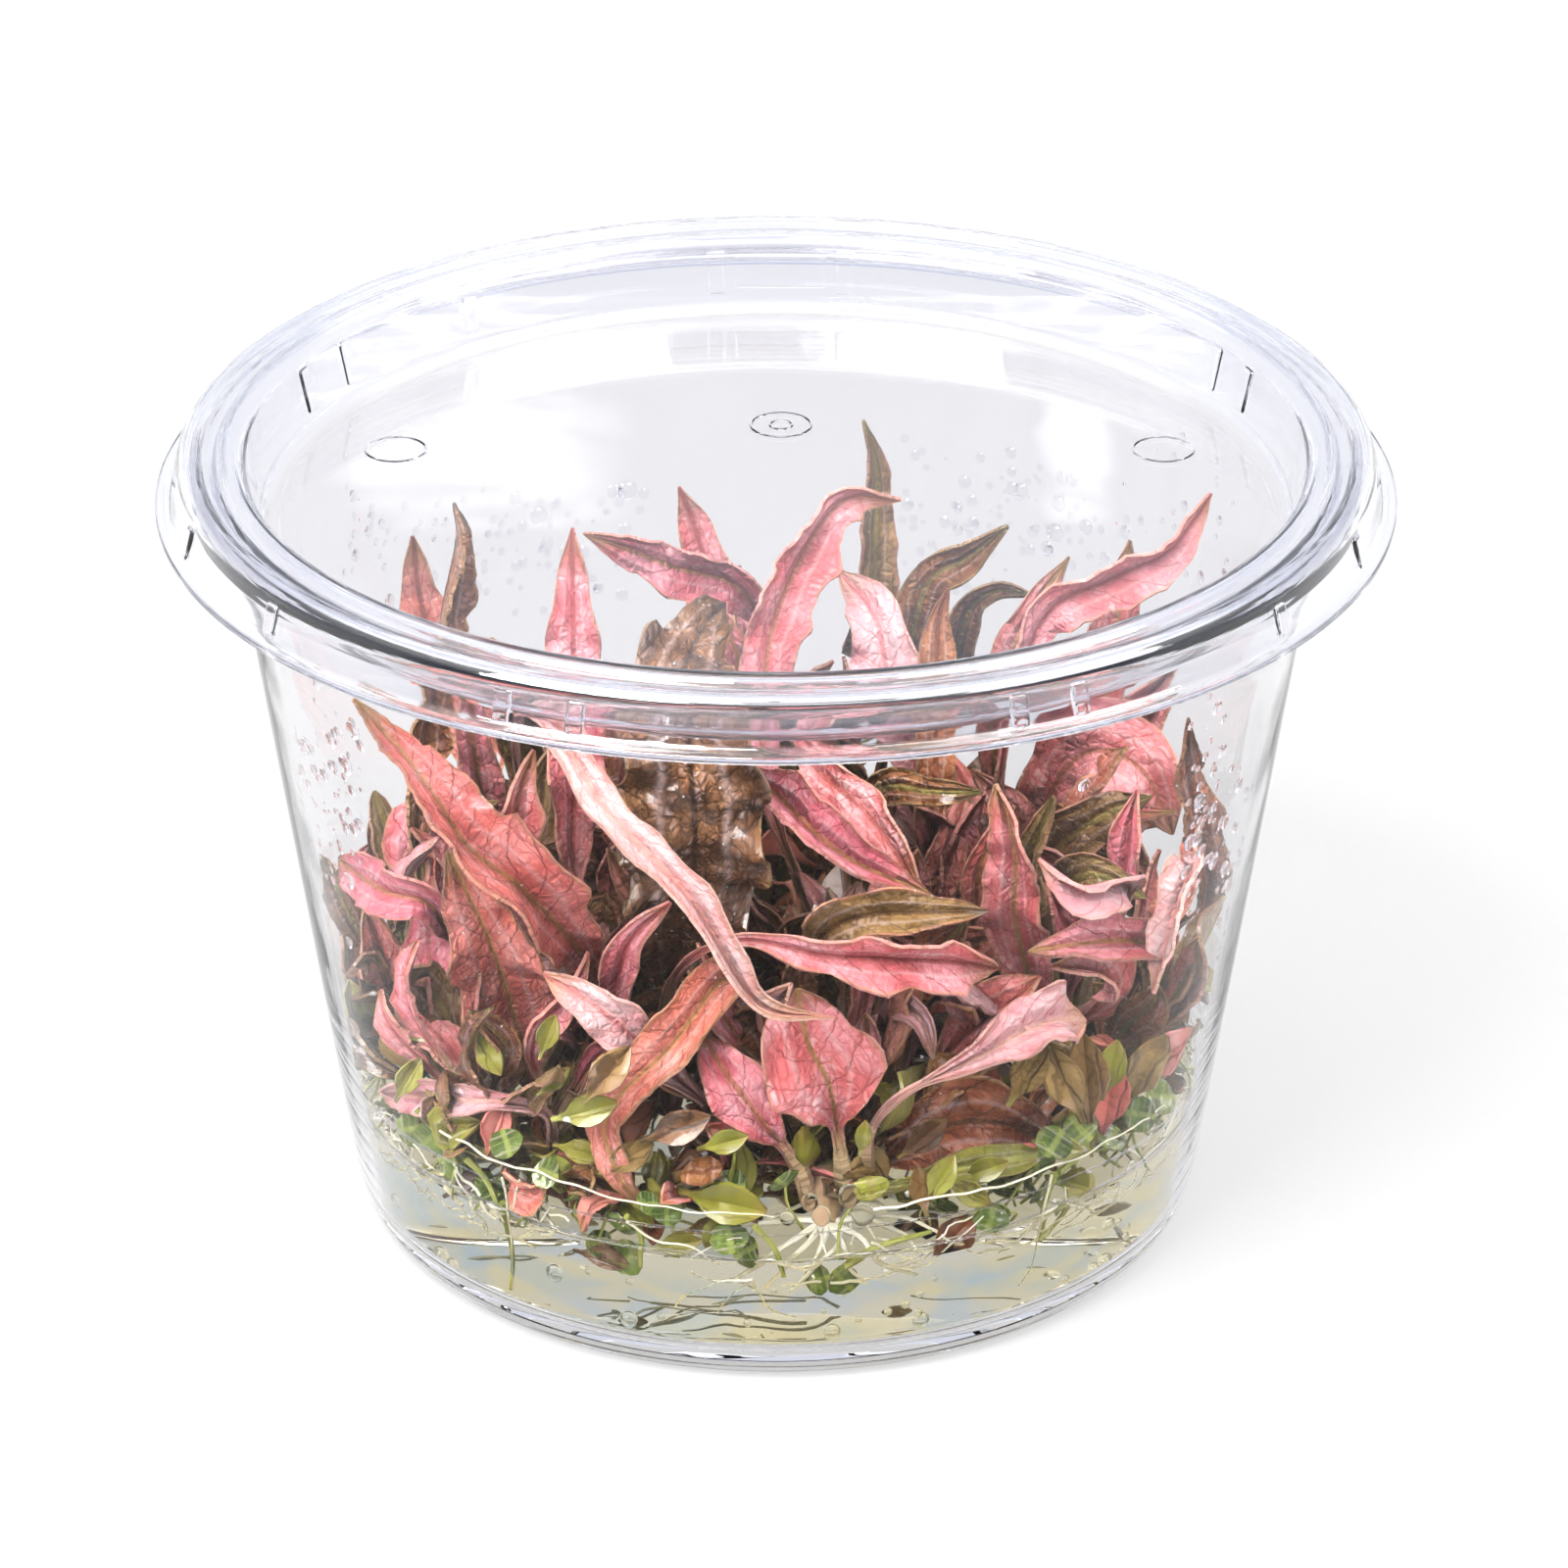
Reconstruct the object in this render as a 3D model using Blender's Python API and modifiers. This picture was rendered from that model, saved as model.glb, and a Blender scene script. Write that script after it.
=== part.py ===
"""Cryptocoryne plants in a clear round culture cup with a lid.

Lengths are in millimetres until they go into a mesh, which is in metres. +Z is up, the front of the cup is
towards -Y, and the origin is under the middle of the cup's foot.
"""

import math

import bpy
from mathutils import Matrix, Vector

MM = 0.001
GAP = 0.3  # clearance between pieces that touch

# Cup and lid
HEIGHT = 81.0  # floor to the top of the lid's ridges
LIP_R = 60.0  # the lid's widest edge
FOOT_R = 40.4
FOOT_WIDTH = 1.4  # width of the ring that the cup stands on
WALL = 1.0
WALL_R0 = 42.1  # outer radius that the cup's wall would have at the floor
WALL_SLOPE = 0.143  # how much wider the wall gets for each millimetre of height
FLOOR_TOP = 2.2
FLOOR_UNDER = 1.1
SKIN = 0.9  # thickness of the lid
PANEL_TOP = 73.2  # top of the lid's sunken panel
PANEL_R = 48.6
RIM_TOP = HEIGHT - 2.0  # top of the cup's rim, under the lid
RIM_R = 56.6
LIP_LOW = 75.2  # underside of the lid's lip
TURN_STEPS = 40
LUG_BEARINGS = (113, 120, 172, 187, 218, 238, 247)  # of the lugs inside the lid's rim, from the front
LUG_R = 50.0  # to the middle of a lug
LUG_SIZE = (1.6, 1.2, 4.0)  # radial, round the rim, height
RIB_BEARINGS = (-72, -53, -25, -18, 22, 28, 53, 70)  # of the ribs on the lid's skirt, from the front
RIB_R = 58.3
RIB_SIZE = (0.8, 1.4, 2.2)

# Gel and plants
GEL_TOP = 13.0
CROWN_R = 2.2
CROWN_TOP = 17.0
CROWN_FOOT = 9.0
STALK_FOOT = 15.0  # height at which the grown leaves leave the plant
STALK_OFF = CROWN_R + GAP + 1.1  # how far from the middle of the plant they start
YOUNG_FOOT = 15.5  # height at which the young leaves do
YOUNG_PEAK = 0.6  # where a young leaf is widest
YOUNG_STALK = 0.3
LEAF_THICKNESS = 0.8
STALK_HALF = 0.75  # half the width of a leaf stalk
TIP_HALF = 0.3
LEAF_STEP = 6.5  # length of leaf for each row of faces
CURVE_STEPS = 12  # steps from one given point of a midrib to the next
NARROW = 5.2  # a leaf no wider than this is flat across, a wider one has a fold at its midrib
FACING = Vector((0.0, -0.89, 0.45))  # the way a leaf with no roll faces

# Where each plant stands in the gel: x and y
CROWNS = {
    "front": (5, -30),
    "front_left": (-25, -23),
    "left": (-34, -2),
    "centre_left": (-12, -9),
    "centre_right": (10, -6),
    "right": (30, -9),
    "back_left": (-19, 16),
    "back": (3, 24),
    "back_right": (24, 17),
}

# One row for each leaf: its name, the plant that it grows from, the bearing in degrees at which it leaves the
# plant, the points that its midrib passes, its width, the place of its widest part and the share of its length
# that is stalk, its roll in degrees at the base and at the tip, how far its edges rise, and its colour.
LEAVES = [
    ("front_broad", "front", -60, [(6, -34, 22), (5, -35, 29), (3, -34, 33), (2, -31, 37)],
     11, 0.55, 0.30, (0, 0), 0.2, "rose"),
    ("front_low_left", "front", -120, [(2, -33, 19), (-2, -35, 26), (-5, -34, 30), (-7, -31, 32)],
     6, 0.55, 0.30, (0, 0), 0.3, "rose"),
    ("front_slender", "front", 100, [(2, -28, 18), (1, -28, 25), (0, -27, 30), (0, -25, 33)],
     6, 0.50, 0.25, (0, 0), 0.2, "rose"),
    ("front_square_tip", "front", -10, [(9, -34, 23), (12, -37, 29), (19, -37, 33), (25, -34, 35),
                                        (30, -30, 34)],
     6, 0.80, 0.20, (0, 0), 0.4, "pale"),
    ("front_brown", "front", 35, [(11, -30, 18), (16, -31, 22), (21, -30, 22), (27, -27, 18)],
     8, 0.50, 0.10, (0, 0), 0.2, "brown"),
    ("front_reaching_left", "front", 170, [(-3, -28, 19), (-10, -31, 28), (-16, -34, 36), (-22, -33, 40)],
     5, 0.65, 0.25, (0, 0), 0.3, "pale"),
    ("left_arc", "front_left", -60, [(-22, -28, 18), (-22, -32, 24), (-26, -33, 26), (-31, -29, 24),
                                     (-39, -15, 17)],
     3.5, 0.60, 0.15, (30, 30), 0.3, "pale"),
    ("left_low", "front_left", 200, [(-28, -24, 20), (-30, -25, 25), (-33, -23, 28), (-37, -18, 29)],
     4.5, 0.60, 0.25, (0, 0), 0.3, "rose"),
    ("left_big", "front_left", 60, [(-24, -22, 20), (-25, -25, 30), (-27, -28, 40), (-29, -29, 46),
                                    (-31, -29, 51)],
     9, 0.50, 0.15, (0, 0), 0.2, "dusky"),
    ("left_level", "left", -60, [(-31, -10, 27), (-33, -20, 40), (-38, -18, 41), (-43, -8, 39)],
     5, 0.70, 0.30, (0, 0), 0.3, "rose"),
    ("left_upright_brown", "left", 60, [(-35, -1, 27), (-36, 1, 37), (-35, 5, 46), (-33, 8, 57),
                                        (-32, 9, 65), (-33, 9, 69)],
     5, 0.50, 0.30, (0, 0), 0.3, "brown"),
    ("left_twisted", "centre_left", -125, [(-15, -18, 27), (-19, -28, 40), (-24, -33, 49), (-29, -32, 53),
                                           (-34, -29, 60), (-40, -21, 63)],
     7, 0.55, 0.20, (0, 40), 0.3, "dusky"),
    ("left_inner", "centre_left", 200, [(-18, -14, 27), (-25, -20, 43), (-25, -19, 51), (-24, -16, 55)],
     5, 0.60, 0.30, (0, 0), 0.3, "rose"),
    ("left_upright", "centre_left", 150, [(-17, -8, 24), (-20, -4, 34), (-20, 0, 45), (-20, 4, 58),
                                          (-20, 6, 68)],
     6, 0.55, 0.25, (0, 0), 0.2, "rose"),
    ("dark_crinkled", "centre_left", -40, [(-10, -17, 30), (-8, -22, 44), (-8, -22, 54), (-9, -17, 62),
                                           (-7, -10, 65), (-5, -5, 65)],
     14, 0.50, 0.15, (0, 0), 0.1, "dark"),
    ("middle_long", "centre_left", -85, [(-10, -26, 35), (-4, -34, 44), (5, -37, 44), (15, -36, 43),
                                         (21, -32, 40)],
     5, 0.75, 0.35, (0, 0), 0.3, "rose"),
    ("middle_upper", "centre_left", 70, [(-7, -6, 29), (-4, -8, 45), (-1, -14, 50), (6, -24, 48),
                                         (15, -27, 45)],
     4.5, 0.65, 0.35, (0, 0), 0.3, "rose"),
    ("folded_over", "centre_right", -150, [(-2, -17, 28), (-5, -29, 37), (-10, -35, 33), (-16, -37, 27),
                                           (-15, -38, 21), (-12, -37, 16)],
     5, 0.55, 0.25, (0, 0), 0.3, "dusky"),
    ("middle_silver", "centre_right", -100, [(6, -18, 29), (4, -27, 40), (8, -31, 45), (15, -32, 46),
                                             (20, -30, 45)],
     4.5, 0.60, 0.40, (0, 0), 0.3, "olive"),
    ("middle_tan", "centre_right", 100, [(8, -2, 30), (8, -4, 42), (11, -8, 47), (15, -11, 48),
                                         (20, -13, 49)],
     3.5, 0.65, 0.40, (0, 0), 0.2, "brown"),
    ("top_big", "centre_right", 160, [(4, -6, 30), (-1, -6, 46), (-1, 0, 56), (1, 5, 62), (6, 10, 69),
                                      (12, 12, 69)],
     6, 0.60, 0.30, (0, 0), 0.2, "rose"),
    ("top_amber", "centre_right", 40, [(15, 0, 32), (16, 4, 46), (16, 6, 57), (17, 7, 61)],
     4.5, 0.60, 0.30, (0, 0), 0.2, "amber"),
    ("right_curl", "right", 200, [(25, -18, 29), (23, -22, 40), (23, -22, 48), (22, -19, 53)],
     6, 0.55, 0.25, (0, 0), 0.3, "rose"),
    ("right_loop", "right", -115, [(31, -12, 28), (34, -15, 38), (33, -22, 44), (29, -27, 46),
                                   (25, -25, 48)],
     3.5, 0.70, 0.45, (0, 0), 0.3, "pale"),
    ("right_hanging", "right", 10, [(37, -8, 27), (39, -12, 38), (40, -18, 43), (38, -23, 40),
                                    (36, -26, 34)],
     3.5, 0.70, 0.40, (0, 0), 0.3, "pale"),
    ("right_lower", "right", -20, [(34, -12, 22), (38, -15, 30), (36, -20, 36), (31, -25, 39),
                                   (24, -27, 39)],
     4.5, 0.65, 0.35, (0, 0), 0.3, "rose"),
    ("right_tall", "right", 45, [(39, -4, 20), (43, -4, 32), (42, -6, 41), (40, -8, 49), (39, -10, 56)],
     4.5, 0.55, 0.25, (0, 0), 0.2, "brown"),
    ("right_olive", "right", 140, [(28, -8, 26), (28, -10, 36), (31, -13, 40), (36, -14, 38)],
     4.5, 0.60, 0.35, (0, 0), 0.3, "olive"),
    ("right_low_brown", "right", -80, [(32, -14, 19), (34, -17, 25), (36, -20, 29), (37, -21, 32)],
     5, 0.60, 0.25, (0, 0), 0.2, "brown"),
    ("right_low_tan", "right", -50, [(33, -14, 16), (37, -14, 19), (40, -12, 22)],
     3.5, 0.60, 0.20, (0, 0), 0.2, "olive"),
    ("left_magenta", "back_left", -110, [(-26, 10, 24), (-29, 5, 35), (-30, 3, 45), (-31, 2, 53)],
     4.5, 0.60, 0.25, (0, 0), 0.3, "rose"),
    ("pale_ribbon", "back_left", -60, [(-25, 4, 40), (-25, -8, 54), (-21, -22, 60), (-16, -32, 57),
                                       (-8, -39, 51), (-2, -41, 41), (5, -39, 38)],
     3.5, 0.65, 0.20, (0, 0), 0.2, "pale"),
    ("back_left_upright", "back_left", 130, [(-26, 22, 24), (-32, 26, 36), (-36, 28, 48), (-37, 28, 57)],
     6, 0.55, 0.25, (0, 0), 0.2, "dusky"),
    ("top_arch", "back", 200, [(1, 20, 33), (-1, 16, 51), (-4, 14, 58), (-10, 12, 61), (-15, 10, 64),
                               (-19, 9, 66)],
     5, 0.65, 0.45, (0, 0), 0.2, "rose"),
    ("middle_drop", "back", -100, [(2, 16, 32), (1, 6, 47), (4, -6, 48), (9, -14, 47), (14, -20, 42)],
     4.5, 0.70, 0.45, (0, 0), 0.3, "rose"),
    ("top_narrow", "back", 60, [(8, 27, 30), (10, 28, 43), (10, 29, 53), (10, 30, 63), (8, 30, 69)],
     4, 0.60, 0.25, (0, 0), 0.3, "olive"),
    ("top_olive", "back", -30, [(10, 18, 34), (13, 14, 49), (15, 14, 58), (19, 14, 61), (23, 13, 65)],
     4.5, 0.65, 0.35, (0, 0), 0.3, "brown"),
    ("back_upright", "back", 120, [(-1, 32, 26), (-5, 36, 40), (-8, 38, 52), (-10, 38, 58)],
     6, 0.55, 0.25, (0, 0), 0.2, "rose"),
    ("right_rear_olive", "back_right", 275, [(25, 8, 26), (28, 0, 36), (32, -3, 41), (37, -4, 44)],
     6, 0.60, 0.30, (0, 0), 0.3, "olive"),
    ("right_rear_round", "back_right", -30, [(26, 16, 24), (28, 13, 36), (32, 10, 42), (37, 7, 41),
                                             (40, 5, 35)],
     9, 0.60, 0.20, (0, 0), 0.2, "rose"),
    ("top_pale", "back_right", 185, [(17, 10, 33), (12, 6, 47), (10, 8, 57), (7, 14, 59)],
     6.5, 0.65, 0.30, (0, 0), 0.2, "pale"),
    ("top_pointed", "back_right", 140, [(22, 13, 31), (22, 10, 47), (25, 10, 56), (29, 10, 63)],
     4, 0.60, 0.30, (0, 0), 0.3, "rose"),
    ("top_upturned", "back_right", 230, [(22, 8, 36), (24, 4, 52), (27, 4, 60), (34, 6, 63), (39, 8, 65),
                                          (43, 12, 69)],
     5, 0.65, 0.35, (0, 0), 0.3, "rose"),
    ("back_right_upright", "back_right", 50, [(30, 22, 25), (33, 24, 38), (35, 26, 50), (36, 27, 57)],
     6, 0.55, 0.25, (0, 0), 0.2, "dusky"),
]

# The young leaves that are part of each plant's base: the plant, the points that the midrib passes, the width
YOUNG = [
    ("front", [(9, -33, 16), (16, -36, 20), (21, -34, 20), (26, -31, 19)], 3.5),
    ("front_left", [(-19, -26, 22), (-16, -28, 33), (-14, -31, 42), (-10, -32, 47)], 3.5),
    ("centre_right", [(12, -14, 22), (12, -22, 29), (12, -27, 33), (14, -30, 33), (15, -30, 29)], 3),
    ("centre_right", [(16, -10, 27), (19, -13, 34), (20, -14, 42), (23, -14, 48)], 3),
    ("centre_right", [(11, -4, 23), (16, -2, 33), (19, 2, 42)], 4),
    ("back", [(12, 24, 26), (17, 22, 37), (19, 20, 51), (22, 19, 55), (26, 18, 55)], 3.5),
    ("back", [(6, 20, 22), (8, 10, 36), (6, 4, 46)], 4),
    ("back_left", [(-10, 12, 34), (-4, 8, 50), (-5, 8, 56), (-8, 9, 59)], 4),
    ("back_left", [(-15, 8, 28), (-14, 4, 38), (-15, 2, 46)], 4),
    ("left", [(-38, -9, 25), (-39, -12, 32), (-40, -14, 37)], 4),
    ("left", [(-36, 4, 19), (-39, 8, 28), (-41, 8, 36)], 4),
    ("front_left", [(-30, -20, 20), (-33, -16, 29), (-36, -12, 35)], 4),
    ("right", [(32, -12, 20), (33, -14, 26), (31, -15, 29)], 3.5),
    ("back_right", [(28, 11, 19), (32, 8, 29), (35, 8, 35)], 4),
]
ROOT_BEARINGS = (20, 160, 250)
ROOT_LENGTH = 7.0
ROOT_R = 0.55
ROOT_TIP_R = 0.2
ROOT_INSIDE = 1.0  # how far from the middle of the plant a root starts

# Where each tuft of green plantlets lies on the gel: x, y and the bearing that its stem runs along
TUFTS = {
    "left": (-35, -15, 100),
    "front": (-3, -38, 5),
    "front_right": (17, -33, 27),
}
TUFT_LEAVES = 5
TUFT_LENGTH = 8.0
TUFT_RISE = 1.4  # height of a tuft's stem over the gel
TUFT_STEM_R = 0.6
TUFT_SPREAD = 1.6  # how far to the side of the stem each round leaf sits
ROUND_SIZE = (2.3, 2.1, 0.8)  # half the length, width and thickness of a round leaf

COLOURS = {
    "clear": ((0.90, 0.92, 0.96), 0.05),
    "gel": ((0.85, 0.86, 0.72), 0.05),
    "crown": ((0.72, 0.62, 0.42), 0.5),
    "green": ((0.17, 0.30, 0.05), 0.4),
    "rose": ((0.72, 0.22, 0.26), 0.45),
    "pale": ((0.86, 0.48, 0.46), 0.45),
    "dusky": ((0.50, 0.18, 0.20), 0.45),
    "brown": ((0.30, 0.13, 0.07), 0.45),
    "amber": ((0.45, 0.18, 0.07), 0.45),
    "olive": ((0.30, 0.24, 0.12), 0.45),
    "dark": ((0.12, 0.07, 0.03), 0.25),
}


def clear_scene():
    """Remove what the scene holds."""
    for obj in list(bpy.data.objects):
        bpy.data.objects.remove(obj)


def material(kind):
    """The material of one kind of surface, made once."""
    if kind in bpy.data.materials:
        return bpy.data.materials[kind]
    colour, roughness = COLOURS[kind]
    mat = bpy.data.materials.new(kind)
    mat.use_nodes = True
    shader = mat.node_tree.nodes["Principled BSDF"]
    shader.inputs["Base Color"].default_value = (*colour, 1.0)
    shader.inputs["Roughness"].default_value = roughness
    shader.inputs["Metallic"].default_value = 0.0
    return mat


def finish(obj, name, kind, collection):
    """Name an object, give it its material and put it in its collection."""
    obj.name = name
    obj.data.name = name
    obj.data.materials.clear()
    obj.data.materials.append(material(kind))
    for home in list(obj.users_collection):
        home.objects.unlink(obj)
    collection.objects.link(obj)
    return obj


def wall_radius(z):
    """Outer radius of the cup's wall at a height."""
    return WALL_R0 + WALL_SLOPE * z


def turned(profile):
    """A turned object from a profile of (radius, height), which runs down its outer side."""
    mesh = bpy.data.meshes.new("profile")
    points = [(r * MM, 0.0, z * MM) for r, z in profile]
    mesh.from_pydata(points, [(i, i + 1) for i in range(len(points) - 1)], [])
    obj = bpy.data.objects.new("turned", mesh)
    screw = obj.modifiers.new("turn", "SCREW")
    screw.steps = TURN_STEPS
    screw.render_steps = TURN_STEPS
    screw.use_merge_vertices = True
    screw.merge_threshold = 0.00001
    return obj


def applied(obj):
    """A plain mesh object in place of one with modifiers."""
    bpy.context.scene.collection.objects.link(obj)
    graph = bpy.context.evaluated_depsgraph_get()
    mesh = bpy.data.meshes.new_from_object(obj.evaluated_get(graph))
    solid = bpy.data.objects.new(obj.name, mesh)
    solid.matrix_world = obj.matrix_world
    bpy.data.objects.remove(obj)
    return solid


def boolean(obj, other, operation):
    """Cut another object from this one, or join it on."""
    modifier = obj.modifiers.new(operation.lower(), "BOOLEAN")
    modifier.operation = operation
    modifier.object = other


def cup(parts):
    """The clear shell: a raised floor in a foot ring, a tapered wall and a bead round the mouth."""
    neck = RIM_TOP - 3.4
    profile = [
        (0.0, FLOOR_TOP),
        (FOOT_R - 0.8, FLOOR_TOP),
        (wall_radius(3.9) - WALL, 3.9),
        (wall_radius(neck) - WALL, neck),
        (RIM_R - 3.6, RIM_TOP),
        (RIM_R - 0.4, RIM_TOP),
        (RIM_R, RIM_TOP - 0.5),
        (RIM_R, RIM_TOP - 2.0),
        (RIM_R - 1.0, RIM_TOP - 2.2),
        (wall_radius(neck), neck - 0.6),
        (wall_radius(3.2), 3.2),
        (FOOT_R + 1.2, 1.4),
        (FOOT_R, 0.0),
        (FOOT_R - FOOT_WIDTH, 0.0),
        (FOOT_R - FOOT_WIDTH - 0.6, FLOOR_UNDER),
        (0.0, FLOOR_UNDER),
    ]
    return finish(turned(profile), "cup", "clear", parts)


def lug(bearing, height, radius, size):
    """A small block on the lid, upright at a bearing from the front."""
    bpy.ops.mesh.primitive_cube_add(size=1.0)
    block = bpy.context.object
    block.scale = [side * MM for side in size]
    angle = math.radians(bearing - 90.0)
    block.location = (radius * MM * math.cos(angle), radius * MM * math.sin(angle), height * MM)
    block.rotation_euler.z = angle
    return block


def lid(parts, cutters):
    """The clear lid: a sunken panel, a wall up to two ridges with a channel between them, and a skirt."""
    top = HEIGHT
    profile = [
        (0.0, PANEL_TOP),
        (PANEL_R, PANEL_TOP),
        (PANEL_R + 1.3, PANEL_TOP + 0.9),
        (51.3, top - 0.9),
        (52.2, top),
        (53.4, top),
        (54.0, top - 0.7),
        (55.3, top - 0.7),
        (56.0, top),
        (57.0, top - 0.1),
        (57.8, top - 0.9),
        (58.1, 78.4),
        (58.8, 76.5),
        (LIP_R - 0.6, LIP_LOW + SKIN),
        (LIP_R, LIP_LOW + SKIN),
        (LIP_R, LIP_LOW),
        (LIP_R - 1.4, LIP_LOW),
        (57.8, 76.0),
        (57.1, 78.3),
        (56.9, RIM_TOP + 0.3),
        (53.0, RIM_TOP + 0.3),
        (51.9, RIM_TOP - 0.7),
        (PANEL_R + 2.3, PANEL_TOP),
        (PANEL_R + 0.8, PANEL_TOP - SKIN),
        (0.0, PANEL_TOP - SKIN),
    ]
    shell = applied(turned(profile))
    finish(shell, "lid", "clear", parts)
    for bearing in LUG_BEARINGS:
        block = lug(bearing, PANEL_TOP + LUG_SIZE[2], LUG_R, LUG_SIZE)
        boolean(shell, finish(block, f"lug_{bearing}", "clear", cutters), "UNION")
    for bearing in RIB_BEARINGS:
        block = lug(bearing, LIP_LOW + RIB_SIZE[2], RIB_R, RIB_SIZE)
        boolean(shell, finish(block, f"rib_{bearing}", "clear", cutters), "UNION")
    return shell


def gel(parts, cutters):
    """The cake of gel, with a pocket for the foot of each plant."""
    inner = WALL + GAP
    profile = [
        (0.0, GEL_TOP),
        (wall_radius(GEL_TOP) - inner - 1.2, GEL_TOP),
        (wall_radius(GEL_TOP) - inner, GEL_TOP + 0.6),
        (wall_radius(4.0) - inner, 4.0),
        (FOOT_R - 1.1, FLOOR_TOP + GAP),
        (0.0, FLOOR_TOP + GAP),
    ]
    cake = applied(turned(profile))
    finish(cake, "gel", "gel", parts)
    for name, (x, y) in CROWNS.items():
        pocket = stub(x, y, CROWN_R + GAP, CROWN_FOOT - GAP, CROWN_TOP + GAP)
        boolean(cake, finish(pocket, f"pocket_{name}", "gel", cutters), "DIFFERENCE")
    return cake


def stub(x, y, radius, low, high):
    """A short six-sided post."""
    bpy.ops.mesh.primitive_cylinder_add(vertices=6, radius=radius * MM, depth=(high - low) * MM)
    post = bpy.context.object
    post.location = (x * MM, y * MM, (low + high) / 2 * MM)
    return post


def crown(name, parts, cutters):
    """The stem base of one plant, with its young leaves and the stubs of root that lie on the gel."""
    x, y = CROWNS[name]
    body = finish(stub(x, y, CROWN_R, CROWN_FOOT, CROWN_TOP), f"crown_{name}", "crown", parts)
    bevel = body.modifiers.new("rounded", "BEVEL")
    bevel.width = 0.7 * MM
    bevel.segments = 1
    bevel.angle_limit = math.radians(60)
    for i, (plant, points, width) in enumerate(YOUNG):
        if plant == name:
            path = smooth_path([Vector((x, y, YOUNG_FOOT)), *[Vector(p) for p in points]])
            young = blade(path, width, YOUNG_PEAK, YOUNG_STALK, (0, 0), 0.2)
            boolean(body, finish(young, f"young_{i}", "rose", cutters), "UNION")
    for bearing in ROOT_BEARINGS:
        boolean(body, finish(root(x, y, bearing), f"root_{name}_{bearing}", "crown", cutters), "UNION")
    return body


def root(x, y, bearing):
    """A stub of root, tapering outwards along the gel's surface."""
    bpy.ops.mesh.primitive_cone_add(
        vertices=3, radius1=ROOT_R * MM, radius2=ROOT_TIP_R * MM, depth=ROOT_LENGTH * MM
    )
    prong = bpy.context.object
    angle = math.radians(bearing)
    middle = ROOT_LENGTH / 2 + ROOT_INSIDE
    prong.rotation_euler = (0.0, math.radians(90), angle)
    prong.location = (
        (x + middle * math.cos(angle)) * MM,
        (y + middle * math.sin(angle)) * MM,
        (GEL_TOP + GAP + ROOT_R) * MM,
    )
    return prong


def smooth_path(points):
    """Evenly spaced points, about LEAF_STEP apart, on a smooth curve through the given ones."""
    ends = [points[0] * 2 - points[1], *points, points[-1] * 2 - points[-2]]
    fine = []
    for a, b, c, d in zip(ends, ends[1:], ends[2:], ends[3:]):
        for step in range(CURVE_STEPS):
            t = step / CURVE_STEPS
            bend = (2 * a - 5 * b + 4 * c - d) * t * t
            twist = (3 * b - a - 3 * c + d) * t**3
            fine.append(0.5 * (2 * b + (c - a) * t + bend + twist))
    fine.append(points[-1])
    lengths = [0.0]
    for a, b in zip(fine, fine[1:]):
        lengths.append(lengths[-1] + (b - a).length)
    count = min(max(round(lengths[-1] / LEAF_STEP), 6), 14)
    path = []
    k = 0
    for i in range(count + 1):
        want = lengths[-1] * i / count
        while k < len(fine) - 2 and lengths[k + 1] < want:
            k += 1
        share = (want - lengths[k]) / (lengths[k + 1] - lengths[k])
        path.append(fine[k].lerp(fine[k + 1], share))
    return path


def half_width(along, width, peak, stalk):
    """Half the width of a leaf at a share of its length."""
    if along <= stalk:
        return STALK_HALF
    share = (along - stalk) / (1 - stalk)
    swell = math.sin(math.pi * share ** (math.log(0.5) / math.log(peak)))
    return max(TIP_HALF, STALK_HALF * (1 - share), width / 2 * swell**0.7)


def leaf_points(place, bearing, points):
    """The midrib's points, from just off the plant's side to the leaf's tip."""
    angle = math.radians(bearing)
    out = Vector((math.cos(angle), math.sin(angle), 0.0))
    foot = Vector((*place, STALK_FOOT)) + out * STALK_OFF
    return [foot, *[Vector(p) for p in points]]


def blade(path, width, peak, stalk, roll, rise):
    """A leaf: a flat grid laid along its midrib and given its thickness."""
    last = len(path) - 1
    across_steps = 2 if width > NARROW else 1
    bpy.ops.mesh.primitive_grid_add(x_subdivisions=across_steps, y_subdivisions=last, size=2.0)
    obj = bpy.context.object
    for vertex in obj.data.vertices:
        across = vertex.co.x
        step = round((vertex.co.y + 1) / 2 * last)
        along = step / last
        run = (path[min(step + 1, last)] - path[max(step - 1, 0)]).normalized()
        side = run.cross(FACING).normalized()
        side.rotate(Matrix.Rotation(math.radians(roll[0] + (roll[1] - roll[0]) * along), 3, run))
        face = side.cross(run)
        half = half_width(along, width, peak, stalk)
        place = path[step] + side * across * half + face * abs(across) * half * rise
        vertex.co = place * MM
    solid = obj.modifiers.new("thickness", "SOLIDIFY")
    solid.thickness = LEAF_THICKNESS * MM
    solid.offset = 0.0
    return obj


def leaf(row, parts):
    """One grown leaf with its stalk."""
    name, plant, bearing, points, width, peak, stalk, roll, rise, colour = row
    path = smooth_path(leaf_points(CROWNS[plant], bearing, points))
    return finish(blade(path, width, peak, stalk, roll, rise), f"leaf_{name}", colour, parts)


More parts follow.
